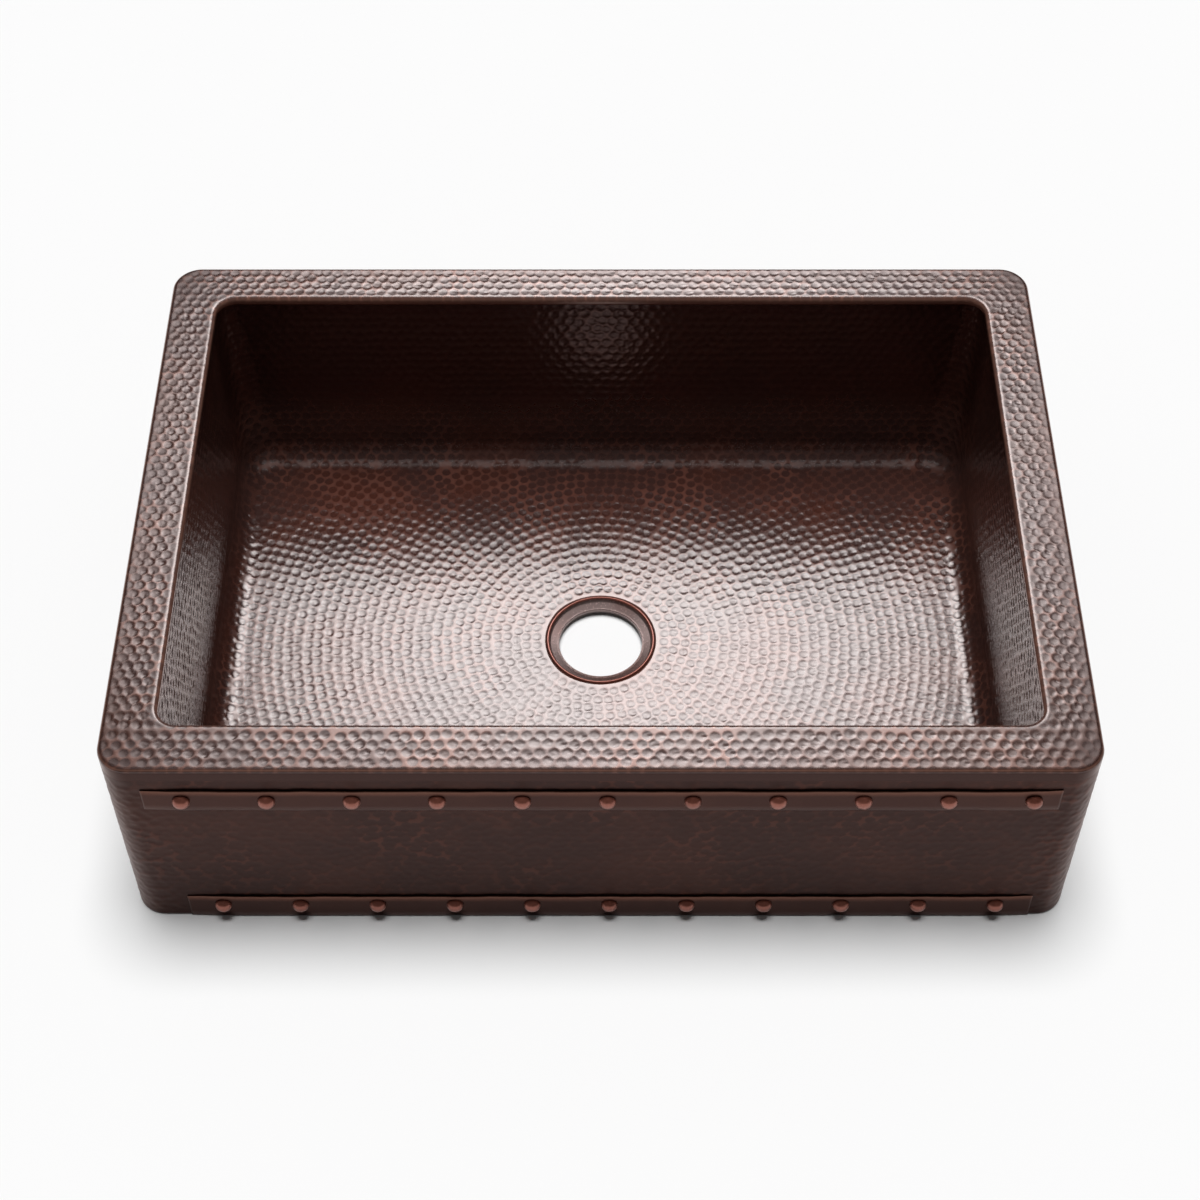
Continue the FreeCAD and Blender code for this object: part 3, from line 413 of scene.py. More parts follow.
def makeDeck():
    # One ring of sheet, turned down outside and rolled in at the lip, cut at the corners into four mitred strips.
    wide, deep, arc = deck["columns"]
    outer, outerWay = roundedOutline(deckHigh[0], deckLow[1], deckHigh[1], deck["cornerRadius"], (wide, deep), arc)
    inner, innerWay = roundedOutline(deck["openingHalf"], deck["openingFront"], deck["openingBack"],
                                     deck["lipCorner"], (wide, deep), arc)
    top, bend, lip, sheet = deck["top"], deck["edgeBend"], deck["lipBend"], deck["sheet"]
    rows, fields = [], []

    def row(points, z, strength, wear, oxide=0):
        rows.append(np.column_stack([points, np.full(len(points), z)]))
        fields.append([np.full(len(points), value) for value in (strength, wear, oxide)])
    for z in np.linspace(deck["edgeFoot"], top - bend, deck["edgeRows"]):
        row(outer, z, 0, 0, 1)
    for a in np.radians(np.linspace(0, 90, deck["bendRows"])[1:]):
        share = math.degrees(a) / 90
        row(outer - outerWay * bend * (1 - math.cos(a)), top - bend * (1 - math.sin(a)),
            deck["bendMark"] * math.sin(a) ** 2,
            deck["edgeWear"] * math.exp(-((share - deck["wearMiddle"]) / deck["wearSpread"]) ** 2),
            max(0, 1 - share * deck["oxideFall"]))
    start = outer - outerWay * bend
    end = inner + innerWay * lip
    rise = deck["markRise"]
    for t in np.linspace(0, 1, deck["rows"] + 1)[1:-1]:
        row(start * (1 - t) + end * t, top, min(1, deck["bendMark"] + rise * t, deck["lipMark"] + rise * (1 - t)), 0)
    for a in np.radians(np.linspace(90, 0, deck["lipBendRows"])):
        row(inner + innerWay * lip * (1 - math.cos(a)), top - lip * (1 - math.sin(a)),
            deck["lipMark"] * math.sin(a) ** 2, deck["lipWear"] * math.cos(a) ** 2)
    for z in np.linspace(top - lip, deck["lipFoot"], deck["lipRows"])[1:]:
        row(inner, z, 0, deck["lipWear"])
    face = np.array(rows)
    strength, wear, oxide = np.array(fields, float).swapaxes(0, 1)
    normal = gridNormals(np.concatenate([face, face[:, :1]], axis=1))[:, :-1]
    # the corners, where the hammer has little room, are smoother; painted shade darkens them, laid on as more oxide
    corner = np.hypot(np.maximum(np.abs(face[..., 0]) - deck["cornerFrom"][0], 0),
                      np.maximum(np.abs(face[..., 1] - middleY) - deck["cornerFrom"][1], 0))
    strength = strength * (1 - deck["cornerMark"] * blendBetween(corner, deck["cornerMarkFrom"], deck["cornerReach"]))
    oxide = np.maximum(oxide, deck["cornerOxide"] * blendBetween(corner, 0, deck["cornerReach"]))
    # close the ring: top face, then the underside, joined along both edges
    columns = face.shape[1]
    under = [np.column_stack([line, np.full(columns, z)])
             for line, z in ((inner + innerWay * sheet, deck["lipFoot"]),
                             (inner + innerWay * sheet, top - sheet - deck["lipTuck"]),
                             (inner + innerWay * lip, top - sheet), (outer - outerWay * bend, top - sheet),
                             (outer - outerWay * sheet, top - bend), (outer - outerWay * sheet, deck["edgeFoot"]))]
    ring = np.concatenate([face, np.array(under)])
    zero = np.zeros((len(under), columns))
    outward = np.concatenate([normal, np.zeros((len(under), columns, 3))])
    strength, wear, oxide = (np.concatenate([field, zero]) for field in (strength, wear, oxide))
    mitres = np.cumsum([wide // 2 + arc // 2, arc + deep, arc + wide, arc + deep, arc + wide])
    strips = []
    for k, side in enumerate(("right", "back", "left", "front")):
        chosen = np.arange(mitres[k], mitres[k + 1] + 1) % columns
        count, across = len(ring), len(chosen)
        r, c = np.meshgrid(np.arange(count), np.arange(across - 1), indexing="ij")
        base, following = r * across + c, (r + 1) % count * across + c
        faces = np.stack([base, base + 1, following + 1, following], -1).reshape(-1, 4).tolist()
        faces.append([r * across for r in range(count)])
        faces.append([r * across + across - 1 for r in reversed(range(count))])
        strips.append(makeMesh("hammered_rim_" + side, ring[:, chosen].reshape(-1, 3) * mm, faces,
                               {"outward": outward[:, chosen].reshape(-1, 3), "strength": strength[:, chosen].ravel(),
                                "wear": wear[:, chosen].ravel(), "oxide": oxide[:, chosen].ravel()}))
    rng = random.Random(deck["seed"])

    def onDeck(x, y):
        past, within = deck["markMargin"]
        outside = abs(x) < deckHigh[0] + past and deckLow[1] - past < y < deckHigh[1] + past
        inside = (abs(x) < deck["openingHalf"] - within
                  and deck["openingFront"] + within < y < deck["openingBack"] - within)
        return outside and not inside
    frontStrip = deck["openingFront"] - deck["frontGap"]
    marks = latticeCentres(rng, deckLow, (deckHigh[0], frontStrip), deck["frontPitch"], deck["jitter"], onDeck,
                           deck["frontCloseness"])
    marks = [spot for spot in marks if spot[1] < frontStrip - deck["stripGap"]]
    marks += latticeCentres(rng, (deckLow[0], frontStrip + 1), deckHigh, deck["markPitch"], deck["jitter"], onDeck)
    centres = markCentres("deckMarks", [np.array([x, y, top]) for x, y in marks])
    for piece in strips:
        applyTree(piece, hammerTree, Mark_centres=centres, Mark_radius=deck["markRadius"] * mm,
                  Mark_depth=deck["markDepth"] * mm, Mark_tilt=deck["markTilt"], Finish=deckCopper)
        seatPiece(piece, "rim_copper", piece.name.replace("hammered_", ""))
    joinNormals(strips, deck["edgeFoot"])
    bpy.data.objects.remove(centres)
    return strips


deckStrips = makeDeck()
print("deck", sum(len(piece.data.polygons) for piece in deckStrips), "faces")

bowl = {
    "sheet": 1.6, "top": wallFrontHigh[2], "floor": 20, "drainLevel": 16, "cove": 26, "coveSteps": 26,
    "topHalf": wallRightHigh[0] - 1.6, "topFront": wallFrontLow[1] + 1.6, "topBack": wallBackHigh[1] - 1.6,
    "sideLean": 6, "frontLean": 12, "backLean": 17, "topCorner": 21.9, "footCorner": 40, "cornerSeam": 50,
    "floorSeam": 30, "wallSteps": 134, "flatSteps": 4, "seamSteps": 12, "wideSteps": 464, "deepSteps": 280,
    "cornerStraight": 14, "cornerArc": 32, "leastShare": 0.004,
    "ringRadius": 58.55, "ringCells": 32, "reachCells": 64, "levelHalf": 62.25, "softFall": 0.15, "fallPower": 6,
    "markPitch": 11.4, "markRadius": 5.5, "markDepth": 0.4, "markTilt": 0.08, "seed": 19,
    "ringClose": 0.93, "ringJitter": 0.05, "wallJitter": 0.07, "lastRing": 460, "markInset": 21, "ringGap": 10,
    "leastApart": 0.66, "beltRow": 60, "beltColumn": 100,  # where the belt of walls is measured
    "wallFade": 0.2, "sideMark": 1.1, "sideReach": (45, 5), "wallRise": (1, 40),  # how strongly the marks show
    "coveMark": 0.8, "coveHeight": 8, "coveSpread": 7, "drainMark": 0.15, "drainRise": (1, 9),
    "backDull": 0.65, "dullHeight": (60, 130), "dullReach": (60, 10),  # painted shade high on the back wall: the coat thinned and the dark oxide tint laid on
}
footHalf = bowl["topHalf"] - bowl["sideLean"]
footFront = bowl["topFront"] + bowl["frontLean"]
footBack = bowl["topBack"] - bowl["backLean"]
seamX = footHalf - bowl["cornerSeam"]
seamFront, seamBack = footFront + bowl["cornerSeam"], footBack - bowl["cornerSeam"]


def wallProfile(high, foot, outward):
    # From the top edge of the wall down to the end of the cove: positions for columns of points.
    # high, foot: points in plan at the two levels; outward: directions in plan, away from the bowl.
    rise = bowl["top"] - bowl["floor"]
    lean = np.sum((high - foot) * outward, axis=1)
    angle = np.arctan(lean / rise)
    radius = bowl["cove"]
    centre = radius * np.tan(angle) - radius / np.cos(angle)
    touch = centre + radius * np.cos(angle)
    touchHeight = radius - radius * np.sin(angle)
    rows = []
    for k in range(bowl["wallSteps"] + 1):
        t = k / bowl["wallSteps"]
        height = rise * (1 - t) + touchHeight * t
        share = (height / rise)[:, None]
        rows.append(np.column_stack([foot + (high - foot) * share, bowl["floor"] + height]))
    for k in range(1, bowl["coveSteps"] + 1):
        a = angle + (math.pi / 2 - angle) * k / bowl["coveSteps"]
        across = foot + outward * (centre + radius * np.cos(a))[:, None]
        start = foot + outward * touch[:, None]
        slide = rows[bowl["wallSteps"]][:, :2] - start
        fade = 1 - k / bowl["coveSteps"]
        rows.append(np.column_stack([across + slide * fade, bowl["floor"] + radius - radius * np.sin(a)]))
    return np.array(rows)


def makeStraightWall(start, end, outward, steps):
    # start, end: (top point, foot point) in plan at the two seams of the wall.
    t = np.linspace(0, 1, steps + 1)[:, None]
    high = np.array(start[0]) * (1 - t) + np.array(end[0]) * t
    foot = np.array(start[1]) * (1 - t) + np.array(end[1]) * t
    way = np.repeat(np.array([outward], float), steps + 1, axis=0)
    rows = wallProfile(high, foot, way)
    last = rows[-1]
    inset = bowl["floorSeam"] - np.abs(np.sum((last[:, :2] - foot) * way, axis=1))
    for k in range(1, bowl["flatSteps"] + 1):
        step = last.copy()
        step[:, :2] -= way * (inset * k / bowl["flatSteps"])[:, None]
        rows = np.concatenate([rows, step[None]])
    return rows


def makeCorner(turnX, turnY):
    # One raised corner, from the seam of the side wall round to the seam of the front or back wall. It opens
    # from a tight turn at the top to a wide one at the foot.
    foot, high, way = [], [], []
    n, m = bowl["cornerStraight"], bowl["cornerArc"]
    footY, topY, seamY = ((footFront, bowl["topFront"], seamFront) if turnY < 0
                          else (footBack, bowl["topBack"], seamBack))
    seamXs, footX, topX = seamX * turnX, footHalf * turnX, bowl["topHalf"] * turnX
    r, s = bowl["footCorner"], bowl["topCorner"]
    centreFoot = (footX - r * turnX, footY - r * turnY)
    centreTop = (topX - s * turnX, topY - s * turnY)
    for k in range(n):
        t = k / n
        foot.append((footX, seamY * (1 - t) + centreFoot[1] * t))
        high.append((topX, seamY * (1 - t) + centreTop[1] * t))
        way.append((turnX, 0))
    for k in range(m + 1):
        a = math.pi / 2 * k / m
        away = (turnX * math.cos(a), turnY * math.sin(a))
        foot.append((centreFoot[0] + r * away[0], centreFoot[1] + r * away[1]))
        high.append((centreTop[0] + s * away[0], centreTop[1] + s * away[1]))
        way.append(away)
    for k in range(1, n + 1):
        t = k / n
        foot.append((centreFoot[0] * (1 - t) + seamXs * t, footY))
        high.append((centreTop[0] * (1 - t) + seamXs * t, topY))
        way.append((0, turnY))
    rows = wallProfile(np.array(high), np.array(foot), np.array(way))
    last = rows[-1]
    point = np.array([seamXs, seamY])
    # the floor part of the corner shrinks towards the point where the seams cross
    reach = abs(last[0, 0] - seamXs)
    seam = bowl["cornerSeam"] - bowl["floorSeam"]
    shares = [1 - (reach - seam) / reach * k / bowl["flatSteps"] for k in range(1, bowl["flatSteps"] + 1)]
    shares += [seam / reach * (1 - k / bowl["seamSteps"]) for k in range(1, bowl["seamSteps"] + 1)]
    for share in shares:
        step = last.copy()
        step[:, :2] = point + (last[:, :2] - point) * max(share, bowl["leastShare"])
        rows = np.concatenate([rows, step[None]])
    return rows


def fallHeight(x, y):
    # The floor falls from the seams to a level square round the drain.
    half = bowl["levelHalf"]
    sideways = (np.abs(x) - half) / (seamX - half)
    frontways = (drainY - half - y) / (drainY - half - seamFront)
    backways = (y - drainY - half) / (seamBack - drainY - half)
    power = bowl["fallPower"]
    ways = [np.clip(way, 0, 1) ** power for way in (sideways, frontways, backways)]
    share = np.minimum((ways[0] + ways[1] + ways[2]) ** (1 / power), 1)
    soft = bowl["softFall"]
    return bowl["drainLevel"] + (bowl["floor"] - bowl["drainLevel"]) * share ** 2 * (1 + soft) / (share + soft)


def floorGrid(turnX):
    # Half of the floor plate, from the middle to one side; its cells bend round the drain.
    n, seam = bowl["wideSteps"] // 2, bowl["seamSteps"]
    edge = footHalf - bowl["floorSeam"]
    x = np.concatenate([np.linspace(0, seamX, n + 1), np.linspace(seamX, edge, seam + 1)[1:]])
    y = np.concatenate([np.linspace(footFront + bowl["floorSeam"], seamFront, seam + 1)[:-1],
                        np.linspace(seamFront, seamBack, bowl["deepSteps"] + 1),
                        np.linspace(seamBack, footBack - bowl["floorSeam"], seam + 1)[1:]])
    gx, gy = np.meshgrid(x, y)
    i, j = np.meshgrid(np.arange(len(x)), np.arange(len(y)) - seam - bowl["deepSteps"] // 2)
    ring = np.maximum(np.abs(i), np.abs(j))
    safe = np.maximum(ring, 1)
    quarter = math.pi / 4
    angle = np.where(np.abs(j) <= i, quarter * j / safe, np.sign(j) * (2 * quarter - quarter * i / safe))
    share = np.clip((ring - bowl["ringCells"]) / (bowl["reachCells"] - bowl["ringCells"]), 0, 1)
    inside = ring < bowl["reachCells"]
    cellX, cellY = x[1] - x[0], (seamBack - seamFront) / bowl["deepSteps"]
    squareX, squareY = i / safe * bowl["reachCells"] * cellX, j / safe * bowl["reachCells"] * cellY
    roundX, roundY = bowl["ringRadius"] * np.cos(angle), bowl["ringRadius"] * np.sin(angle)
    gridMiddle = (seamFront + seamBack) / 2
    px = np.where(inside, roundX * (1 - share) + squareX * share, gx)
    py = np.where(inside, (roundY + drainY) * (1 - share) + (squareY + gridMiddle) * share, gy)
    points = np.stack([px * turnX, py, fallHeight(px, py)], -1)
    cells = np.ones((len(y) - 1, len(x) - 1), bool)
    cellRing = np.maximum(i[:-1, :-1], np.maximum(j[:-1, :-1], -j[1:, 1:]))
    cells[cellRing < bowl["ringCells"]] = False
    cells[:seam, n:] = False
    cells[-seam:, n:] = False
    return points, cells


def patchSheet(name, top, cells, thickness, strength, coarse=4, mirrored=False):
    # A hammered sheet cut to the cells that are kept, with its underside and all its edges closed.
    rows, columns = top.shape[:2]
    under = (top - np.array([0, 0, thickness]))[::coarse, ::coarse]
    lowRows, lowColumns = under.shape[:2]
    start, hidden = rows * columns, lowRows * lowColumns
    r, c = np.nonzero(cells)
    a = r * columns + c
    front = np.stack([a, a + 1, a + columns + 1, a + columns], -1)
    lowCells = cells[::coarse, ::coarse]
    r, c = np.nonzero(lowCells)
    a = start + r * lowColumns + c
    back = np.stack([a, a + lowColumns, a + lowColumns + 1, a + 1], -1)
    faces = front.tolist() + back.tolist()
    kept = np.pad(lowCells, 1)
    for i, k in zip(r.tolist(), c.tolist()):
        # each side of the cell: the neighbour beyond it, and the side's two ends
        for neighbour, one, two in ((kept[i, k + 1], (i, k), (i, k + 1)),
                                    (kept[i + 2, k + 1], (i + 1, k + 1), (i + 1, k)),
                                    (kept[i + 1, k], (i + 1, k), (i, k)),
                                    (kept[i + 1, k + 2], (i, k + 1), (i + 1, k + 1))):
            if neighbour:
                continue
            stepR, stepC = two[0] - one[0], two[1] - one[1]
            fine = [(one[0] * coarse + stepR * q) * columns + one[1] * coarse + stepC * q
                    for q in range(coarse + 1)]
            faces.append(fine[::-1] + [start + r * lowColumns + c for r, c in (one, two)])
    if mirrored:
        faces = [face[::-1] for face in faces]
    points = np.concatenate([top.reshape(-1, 3), under.reshape(-1, 3)])
    used = np.zeros(len(points), bool)
    for block in (front, back):
        used[block.ravel()] = True
    order = np.cumsum(used) - 1
    faces = [[int(order[v]) for v in face] for face in faces]
    normals = np.zeros((len(points), 3))
    normals[:, 2] = 1
    depth = np.concatenate([strength.ravel(), np.zeros(hidden)])
    oxide = np.concatenate([np.zeros(start), np.ones(hidden)])
    return makeMesh(name, points[used] * mm, faces,
                    {"outward": normals[used], "strength": depth[used], "oxide": oxide[used]})


def bowlStrength(points):
    # Full marks on the floor and in the cove, fainter ones up the walls, none right beside the drain.
    x, y, z = points[..., 0], points[..., 1], points[..., 2]
    floor, (near, far) = bowl["floor"], bowl["sideReach"]
    beside = blendBetween(np.abs(x), footHalf - near, footHalf - far)
    fainter = bowl["wallFade"] - bowl["sideMark"] * beside
    low = 1 - fainter * blendBetween(z, floor + bowl["wallRise"][0], floor + bowl["wallRise"][1])
    low = low * (1 + bowl["coveMark"] * np.exp(-((z - floor - bowl["coveHeight"]) / bowl["coveSpread"]) ** 2))
    ring = np.hypot(x, y - drainY) - bowl["ringRadius"]
    least = bowl["drainMark"]
    return low * np.where(z < floor + 0.5, least + (1 - least) * blendBetween(ring, *bowl["drainRise"]), 1)


def wallEnds(side):
    # The two seams of a straight wall: (top point, foot point) in plan, in the order that faces the bowl.
    topX, footX = bowl["topHalf"], footHalf
    if side == "front":
        return [((x, bowl["topFront"]), (x, footFront)) for x in (-seamX, seamX)], (0, -1), bowl["wideSteps"]
    if side == "back":
        return [((x, bowl["topBack"]), (x, footBack)) for x in (seamX, -seamX)], (0, 1), bowl["wideSteps"]
    if side == "right":
        return [((topX, y), (footX, y)) for y in (seamFront, seamBack)], (1, 0), bowl["deepSteps"]
    return [((-topX, y), (-footX, y)) for y in (seamBack, seamFront)], (-1, 0), bowl["deepSteps"]


def ringCentres(rng, middle, first, last, pitch, jitter):
    # Marks struck in rings round a centre, as a smith turns the sheet.
    spots = []
    radius = first
    while radius < last:
        count = max(1, round(2 * math.pi * radius / pitch))
        turn = rng.random() * 2 * math.pi
        for k in range(count):
            a = turn + 2 * math.pi * (k + rng.gauss(0, jitter)) / count
            r = radius + rng.gauss(0, jitter) * pitch
            spots.append((middle[0] + r * math.cos(a), middle[1] + r * math.sin(a)))
        radius += pitch * bowl["ringClose"]
    return spots


def runLength(points):
    # How far along a row of points each one lies.
    return np.concatenate([[0], np.cumsum(np.linalg.norm(np.diff(points, axis=0), axis=1))])


def everywhere(across, up):
    # For a sheet that is hammered all over.
    return True


def bowlMarks(belt):
    # Rings round the drain on the floor, then staggered rows up the belt of walls wherever there is room.
    rng = random.Random(bowl["seed"])
    pitch, inset, cell = bowl["markPitch"], bowl["markInset"], 10
    centres = []
    for x, y in ringCentres(rng, (0, drainY), bowl["ringRadius"] + bowl["ringGap"], bowl["lastRing"], pitch,
                            bowl["ringJitter"]):
        if abs(x) < footHalf - inset and footFront + inset < y < footBack - inset:
            centres.append((x, y, float(fallHeight(np.array(x), np.array(y)))))
    taken = {}

    def cellOf(spot):
        return tuple(int(v // cell) for v in spot)

    def free(spot, gap):
        i, j, k = cellOf(spot)
        near = [p for a in (-1, 0, 1) for b in (-1, 0, 1) for c in (-1, 0, 1)
                for p in taken.get((i + a, j + b, k + c), [])]
        return all(math.dist(spot, p) > gap for p in near)

    def take(spot):
        taken.setdefault(cellOf(spot), []).append(spot)
    for spot in centres:
        take(spot)
    length, height = runLength(belt[bowl["beltRow"]]), runLength(belt[:, bowl["beltColumn"]])
    for u, v in latticeCentres(rng, (0, 0), (length[-1], height[-1] - 2), pitch, bowl["wallJitter"], everywhere):
        column = int(np.searchsorted(length, u % length[-1]))
        row = int(np.searchsorted(height, min(max(v, 0), height[-1])))
        spot = tuple(belt[min(row, len(belt) - 1), min(column, belt.shape[1] - 1)])
        if free(spot, pitch * bowl["leastApart"]):
            centres.append(spot)
            take(spot)
    return markCentres("bowlMarks", [np.array(spot) for spot in centres])


def makeBowl():
    # Four walls and four corners with the cove at their foot, and the floor in two halves that meet at the drain.
    walls = {}
    for side in ("front", "right", "back", "left"):
        (start, end), outward, steps = wallEnds(side)
        walls[side] = makeStraightWall(start, end, outward, steps)
    corners = {}
    for name, turnX, turnY in (("front_right", 1, -1), ("back_right", 1, 1), ("back_left", -1, 1),
                               ("front_left", -1, -1)):
        rows = makeCorner(turnX, turnY)
        corners[name] = rows[:, ::-1] if turnX * turnY < 0 else rows
    beltRows = bowl["wallSteps"] + bowl["coveSteps"]
    order = [walls["front"], corners["front_right"], walls["right"], corners["back_right"],
             walls["back"], corners["back_left"], walls["left"], corners["front_left"]]
    belt = np.concatenate([part[:beltRows, :-1] for part in order], axis=1)
    centres = bowlMarks(belt)
    pieces = []
    values = {"Mark_centres": centres, "Mark_radius": bowl["markRadius"] * mm,
              "Mark_depth": bowl["markDepth"] * mm, "Mark_tilt": bowl["markTilt"], "Finish": bowlCopper}
    for label, rows in list(walls.items()) + list(corners.items()):
        normal = gridNormals(rows)
        normal[beltRows:] = (0, 0, 1)
        node = ("bowl_wall_" if label in walls else "bowl_corner_") + label
        # painted shade: high on the back wall the wax coat is thinned and the dark oxide tint laid on, darkening it
        near, far = bowl["dullReach"]
        backShade = (bowl["backDull"] * blendBetween(rows[..., 2], *bowl["dullHeight"])
                * blendBetween(rows[..., 1], footBack - near, footBack - far))
        piece = closedSheet("hammered_" + node, rows, normal, bowlStrength(rows), bowl["sheet"], oxide=backShade)
        applyTree(piece, hammerTree, **values)
        seatPiece(piece, "bowl_copper", node)
        pieces.append(piece)
    for side, turnX in (("left", -1), ("right", 1)):
        points, cells = floorGrid(turnX)
        piece = patchSheet("hammered_floor_" + side, points, cells, bowl["sheet"], bowlStrength(points),
                           mirrored=turnX < 0)
        applyTree(piece, hammerTree, **values)
        seatPiece(piece, "bowl_copper", "bowl_floor")
        pieces.append(piece)
    joinNormals(pieces)
    bpy.data.objects.remove(centres)
    return pieces


bowlPieces = makeBowl()
print("bowl", sum(len(piece.data.polygons) for piece in bowlPieces), "faces")

skirt = {
    "sheet": 1.6, "top": 238, "cornerRadius": 29, "hemWidth": 18, "hemBend": 2.6, "hemSteps": 4, "bendSteps": 8,
    "apronBack": lowHigh("apron_front")[1][1], "rearEnd": 368.2, "cell": 2.1,
    "markPitch": 10, "markRadius": 5.6, "markDepth": 0.42, "markTilt": 0.1, "jitter": 0.16, "seed": 31,
    "flatMark": 0.3, "cornerMark": 0.8, "cornerReach": (70, 10), "topFade": (12, 1), "footFade": (3, 12),
}


def skirtPath(legs, cell):
    # Plan points and outward directions along straight legs and quarter turns, each in whole groups of four.
    points, ways = [], []
    for leg in legs:
        if leg[0] == "line":
            _, start, end, way = leg
            count = max(4, 4 * round(math.dist(start, end) / cell / 4))
            for k in range(count):
                t = k / count
                points.append((start[0] * (1 - t) + end[0] * t, start[1] * (1 - t) + end[1] * t))
                ways.append(way)
            last = (end, way)
        else:
            _, centre, turn = leg
            radius = skirt["cornerRadius"]
            count = 4 * round(radius * math.pi / 2 / cell / 4)
            for k in range(count):
                a = math.radians(turn + 90 * k / count)
                points.append((centre[0] + radius * math.cos(a), centre[1] + radius * math.sin(a)))
                ways.append((math.cos(a), math.sin(a)))
    points.append(last[0])
    ways.append(last[1])
    return np.array(points), np.array(ways)


def skirtRows(points, ways, cell):
    # From the inner edge of the hem, out under the foot, round the bend and up the face.
    bend, width, rows = skirt["hemBend"], skirt["hemWidth"], []

    def row(inwards, z):
        rows.append(np.column_stack([points - ways * inwards, np.full(len(points), z)]))
    for k in range(skirt["hemSteps"]):
        row(width + (bend - width) * k / skirt["hemSteps"], 0)
    for k in range(skirt["bendSteps"]):
        a = math.pi / 2 * k / skirt["bendSteps"]
        row(bend * (1 - math.sin(a)), bend * (1 - math.cos(a)))
    count = 4 * round((skirt["top"] - bend) / cell / 4)
    for k in range(count + 1):
        row(0, bend + (skirt["top"] - bend) * k / count)
    return np.array(rows)


def makeSkirts():
    # The apron wraps both front corners; a skirt carries on from it along each side and round the rear corner.
    w, front, back = deckHigh[0], deckLow[1], deckHigh[1]
    r, split, end = skirt["cornerRadius"], skirt["apronBack"], skirt["rearEnd"]
    paths = {
        "apron_front": [("line", (-w, split), (-w, front + r), (-1, 0)), ("turn", (r - w, front + r), 180),
                        ("line", (r - w, front), (w - r, front), (0, -1)), ("turn", (w - r, front + r), 270),
                        ("line", (w, front + r), (w, split), (1, 0))],
        "skirt_right": [("line", (w, split), (w, back - r), (1, 0)), ("turn", (w - r, back - r), 0),
                        ("line", (w - r, back), (end, back), (0, 1))],
        "skirt_left": [("line", (-end, back), (r - w, back), (0, 1)), ("turn", (r - w, back - r), 90),
                       ("line", (-w, back - r), (-w, split), (-1, 0))],
    }
    rng = random.Random(skirt["seed"])
    pieces = []
    grids = {name: skirtRows(*skirtPath(legs, skirt["cell"]), skirt["cell"]) for name, legs in paths.items()}
    spots = []
    for rows in grids.values():
        foot = rows[skirt["hemSteps"] + skirt["bendSteps"]]
        length = runLength(foot)
        for u, z in latticeCentres(rng, (0, 0), (length[-1], skirt["top"]), skirt["markPitch"], skirt["jitter"],
                                   everywhere):
            column = min(int(np.searchsorted(length, max(u, 0))), len(length) - 1)
            spots.append(np.array([foot[column, 0], foot[column, 1], z]))
    centres = markCentres("skirtMarks", spots)
    for name, rows in grids.items():
        normal = gridNormals(rows)
        # faint marks on the flats, full ones round the corners, none at the top and the foot
        near, far = skirt["cornerReach"]
        turned = blendBetween(np.abs(rows[..., 0]), w - near, w - far)
        z, (below, above) = rows[..., 2], skirt["topFade"]
        strength = ((skirt["flatMark"] + skirt["cornerMark"] * turned)
                    * (1 - blendBetween(z, skirt["top"] - below, skirt["top"] - above))
                    * blendBetween(z, *skirt["footFade"]))
        piece = closedSheet("oxidised_" + name, rows, normal, strength, skirt["sheet"])
        applyTree(piece, hammerTree, Mark_centres=centres, Mark_radius=skirt["markRadius"] * mm,
                  Mark_depth=skirt["markDepth"] * mm, Mark_tilt=skirt["markTilt"], Finish=apronCopper)
        seatPiece(piece, "apron_copper", name)
        pieces.append(piece)
    joinNormals(pieces, skirt["top"])
    bpy.data.objects.remove(centres)
    return pieces


skirtPieces = makeSkirts()
print("skirts", sum(len(piece.data.polygons) for piece in skirtPieces), "faces")

strap = {
    "end": 38, "tip": 0.6, "ease": 1.5, "easeShare": 0.45, "stations": 420, "seed": 5,
    "wave": 0.55, "waves": 7, "waveLength": (20, 140), "waveRoom": 0.6,  # unevenness of the two long edges
    "wear": [0, 0, 0, 0, 0, 0, 0, 0.2, 0.4, 0.1, 0],  # round the section, most along the upper edge: wear there, and a painted highlight where the light from above falls
}


def makeStrap(node):
    # A flat bar with eased edges and dressed-down ends, its edges a little uneven from the hammer.
    low, high = lowHigh(node)
    left, right, back, face = low[0], high[0], high[1], low[1]
    rng = random.Random(strap["seed"] + int(low[2]))
    turn = 6.28
    waves = [(rng.uniform(*strap["waveLength"]), rng.uniform(0, turn), rng.uniform(0.3, 1))
             for _ in range(strap["waves"])]

    def wave(x, shift):
        return strap["wave"] * sum(a * math.sin(x / l * turn + p + shift) for l, p, a in waves) / 3
    sections = []
    for k in range(strap["stations"] + 1):
        x = left + (right - left) * k / strap["stations"]
        near = min(x - left, right - x) / strap["end"]
        thick = strap["tip"] + (back - face - strap["tip"]) * min(1, near)
        bottom, top = low[2] + strap["waveRoom"] + wave(x, 0), high[2] - strap["waveRoom"] + wave(x, 2)
        e, y = min(strap["ease"], thick * strap["easeShare"]), back - thick
        sections.append([(x, back, bottom), (x, y + e, bottom), (x, y + e * 0.3, bottom + e * 0.3),
                         (x, y, bottom + e), (x, y, bottom * 0.75 + top * 0.25), (x, y, (bottom + top) / 2),
                         (x, y, bottom * 0.25 + top * 0.75), (x, y, top - e),
                         (x, y + e * 0.3, top - e * 0.3), (x, y + e, top), (x, back, top)])
    points = np.array(sections)
    stations, ring = points.shape[:2]
    faces = []
    for i in range(stations - 1):
        for j in range(ring):
            a, b = i * ring + j, i * ring + (j + 1) % ring
            faces.append([a, a + ring, b + ring, b])
    faces.append(list(range(ring)))
    faces.append([(stations - 1) * ring + j for j in reversed(range(ring))])
    # wear round the section, and a painted highlight along the upper edge, where the light from above falls
    wear = np.tile(np.array(strap["wear"], float), stations)
    piece = makeMesh("oxidised_" + node, points.reshape(-1, 3) * mm, faces, {"wear": wear})
    piece.data.materials.append(strapCopper)
    seatPiece(piece, "strap_copper", node)


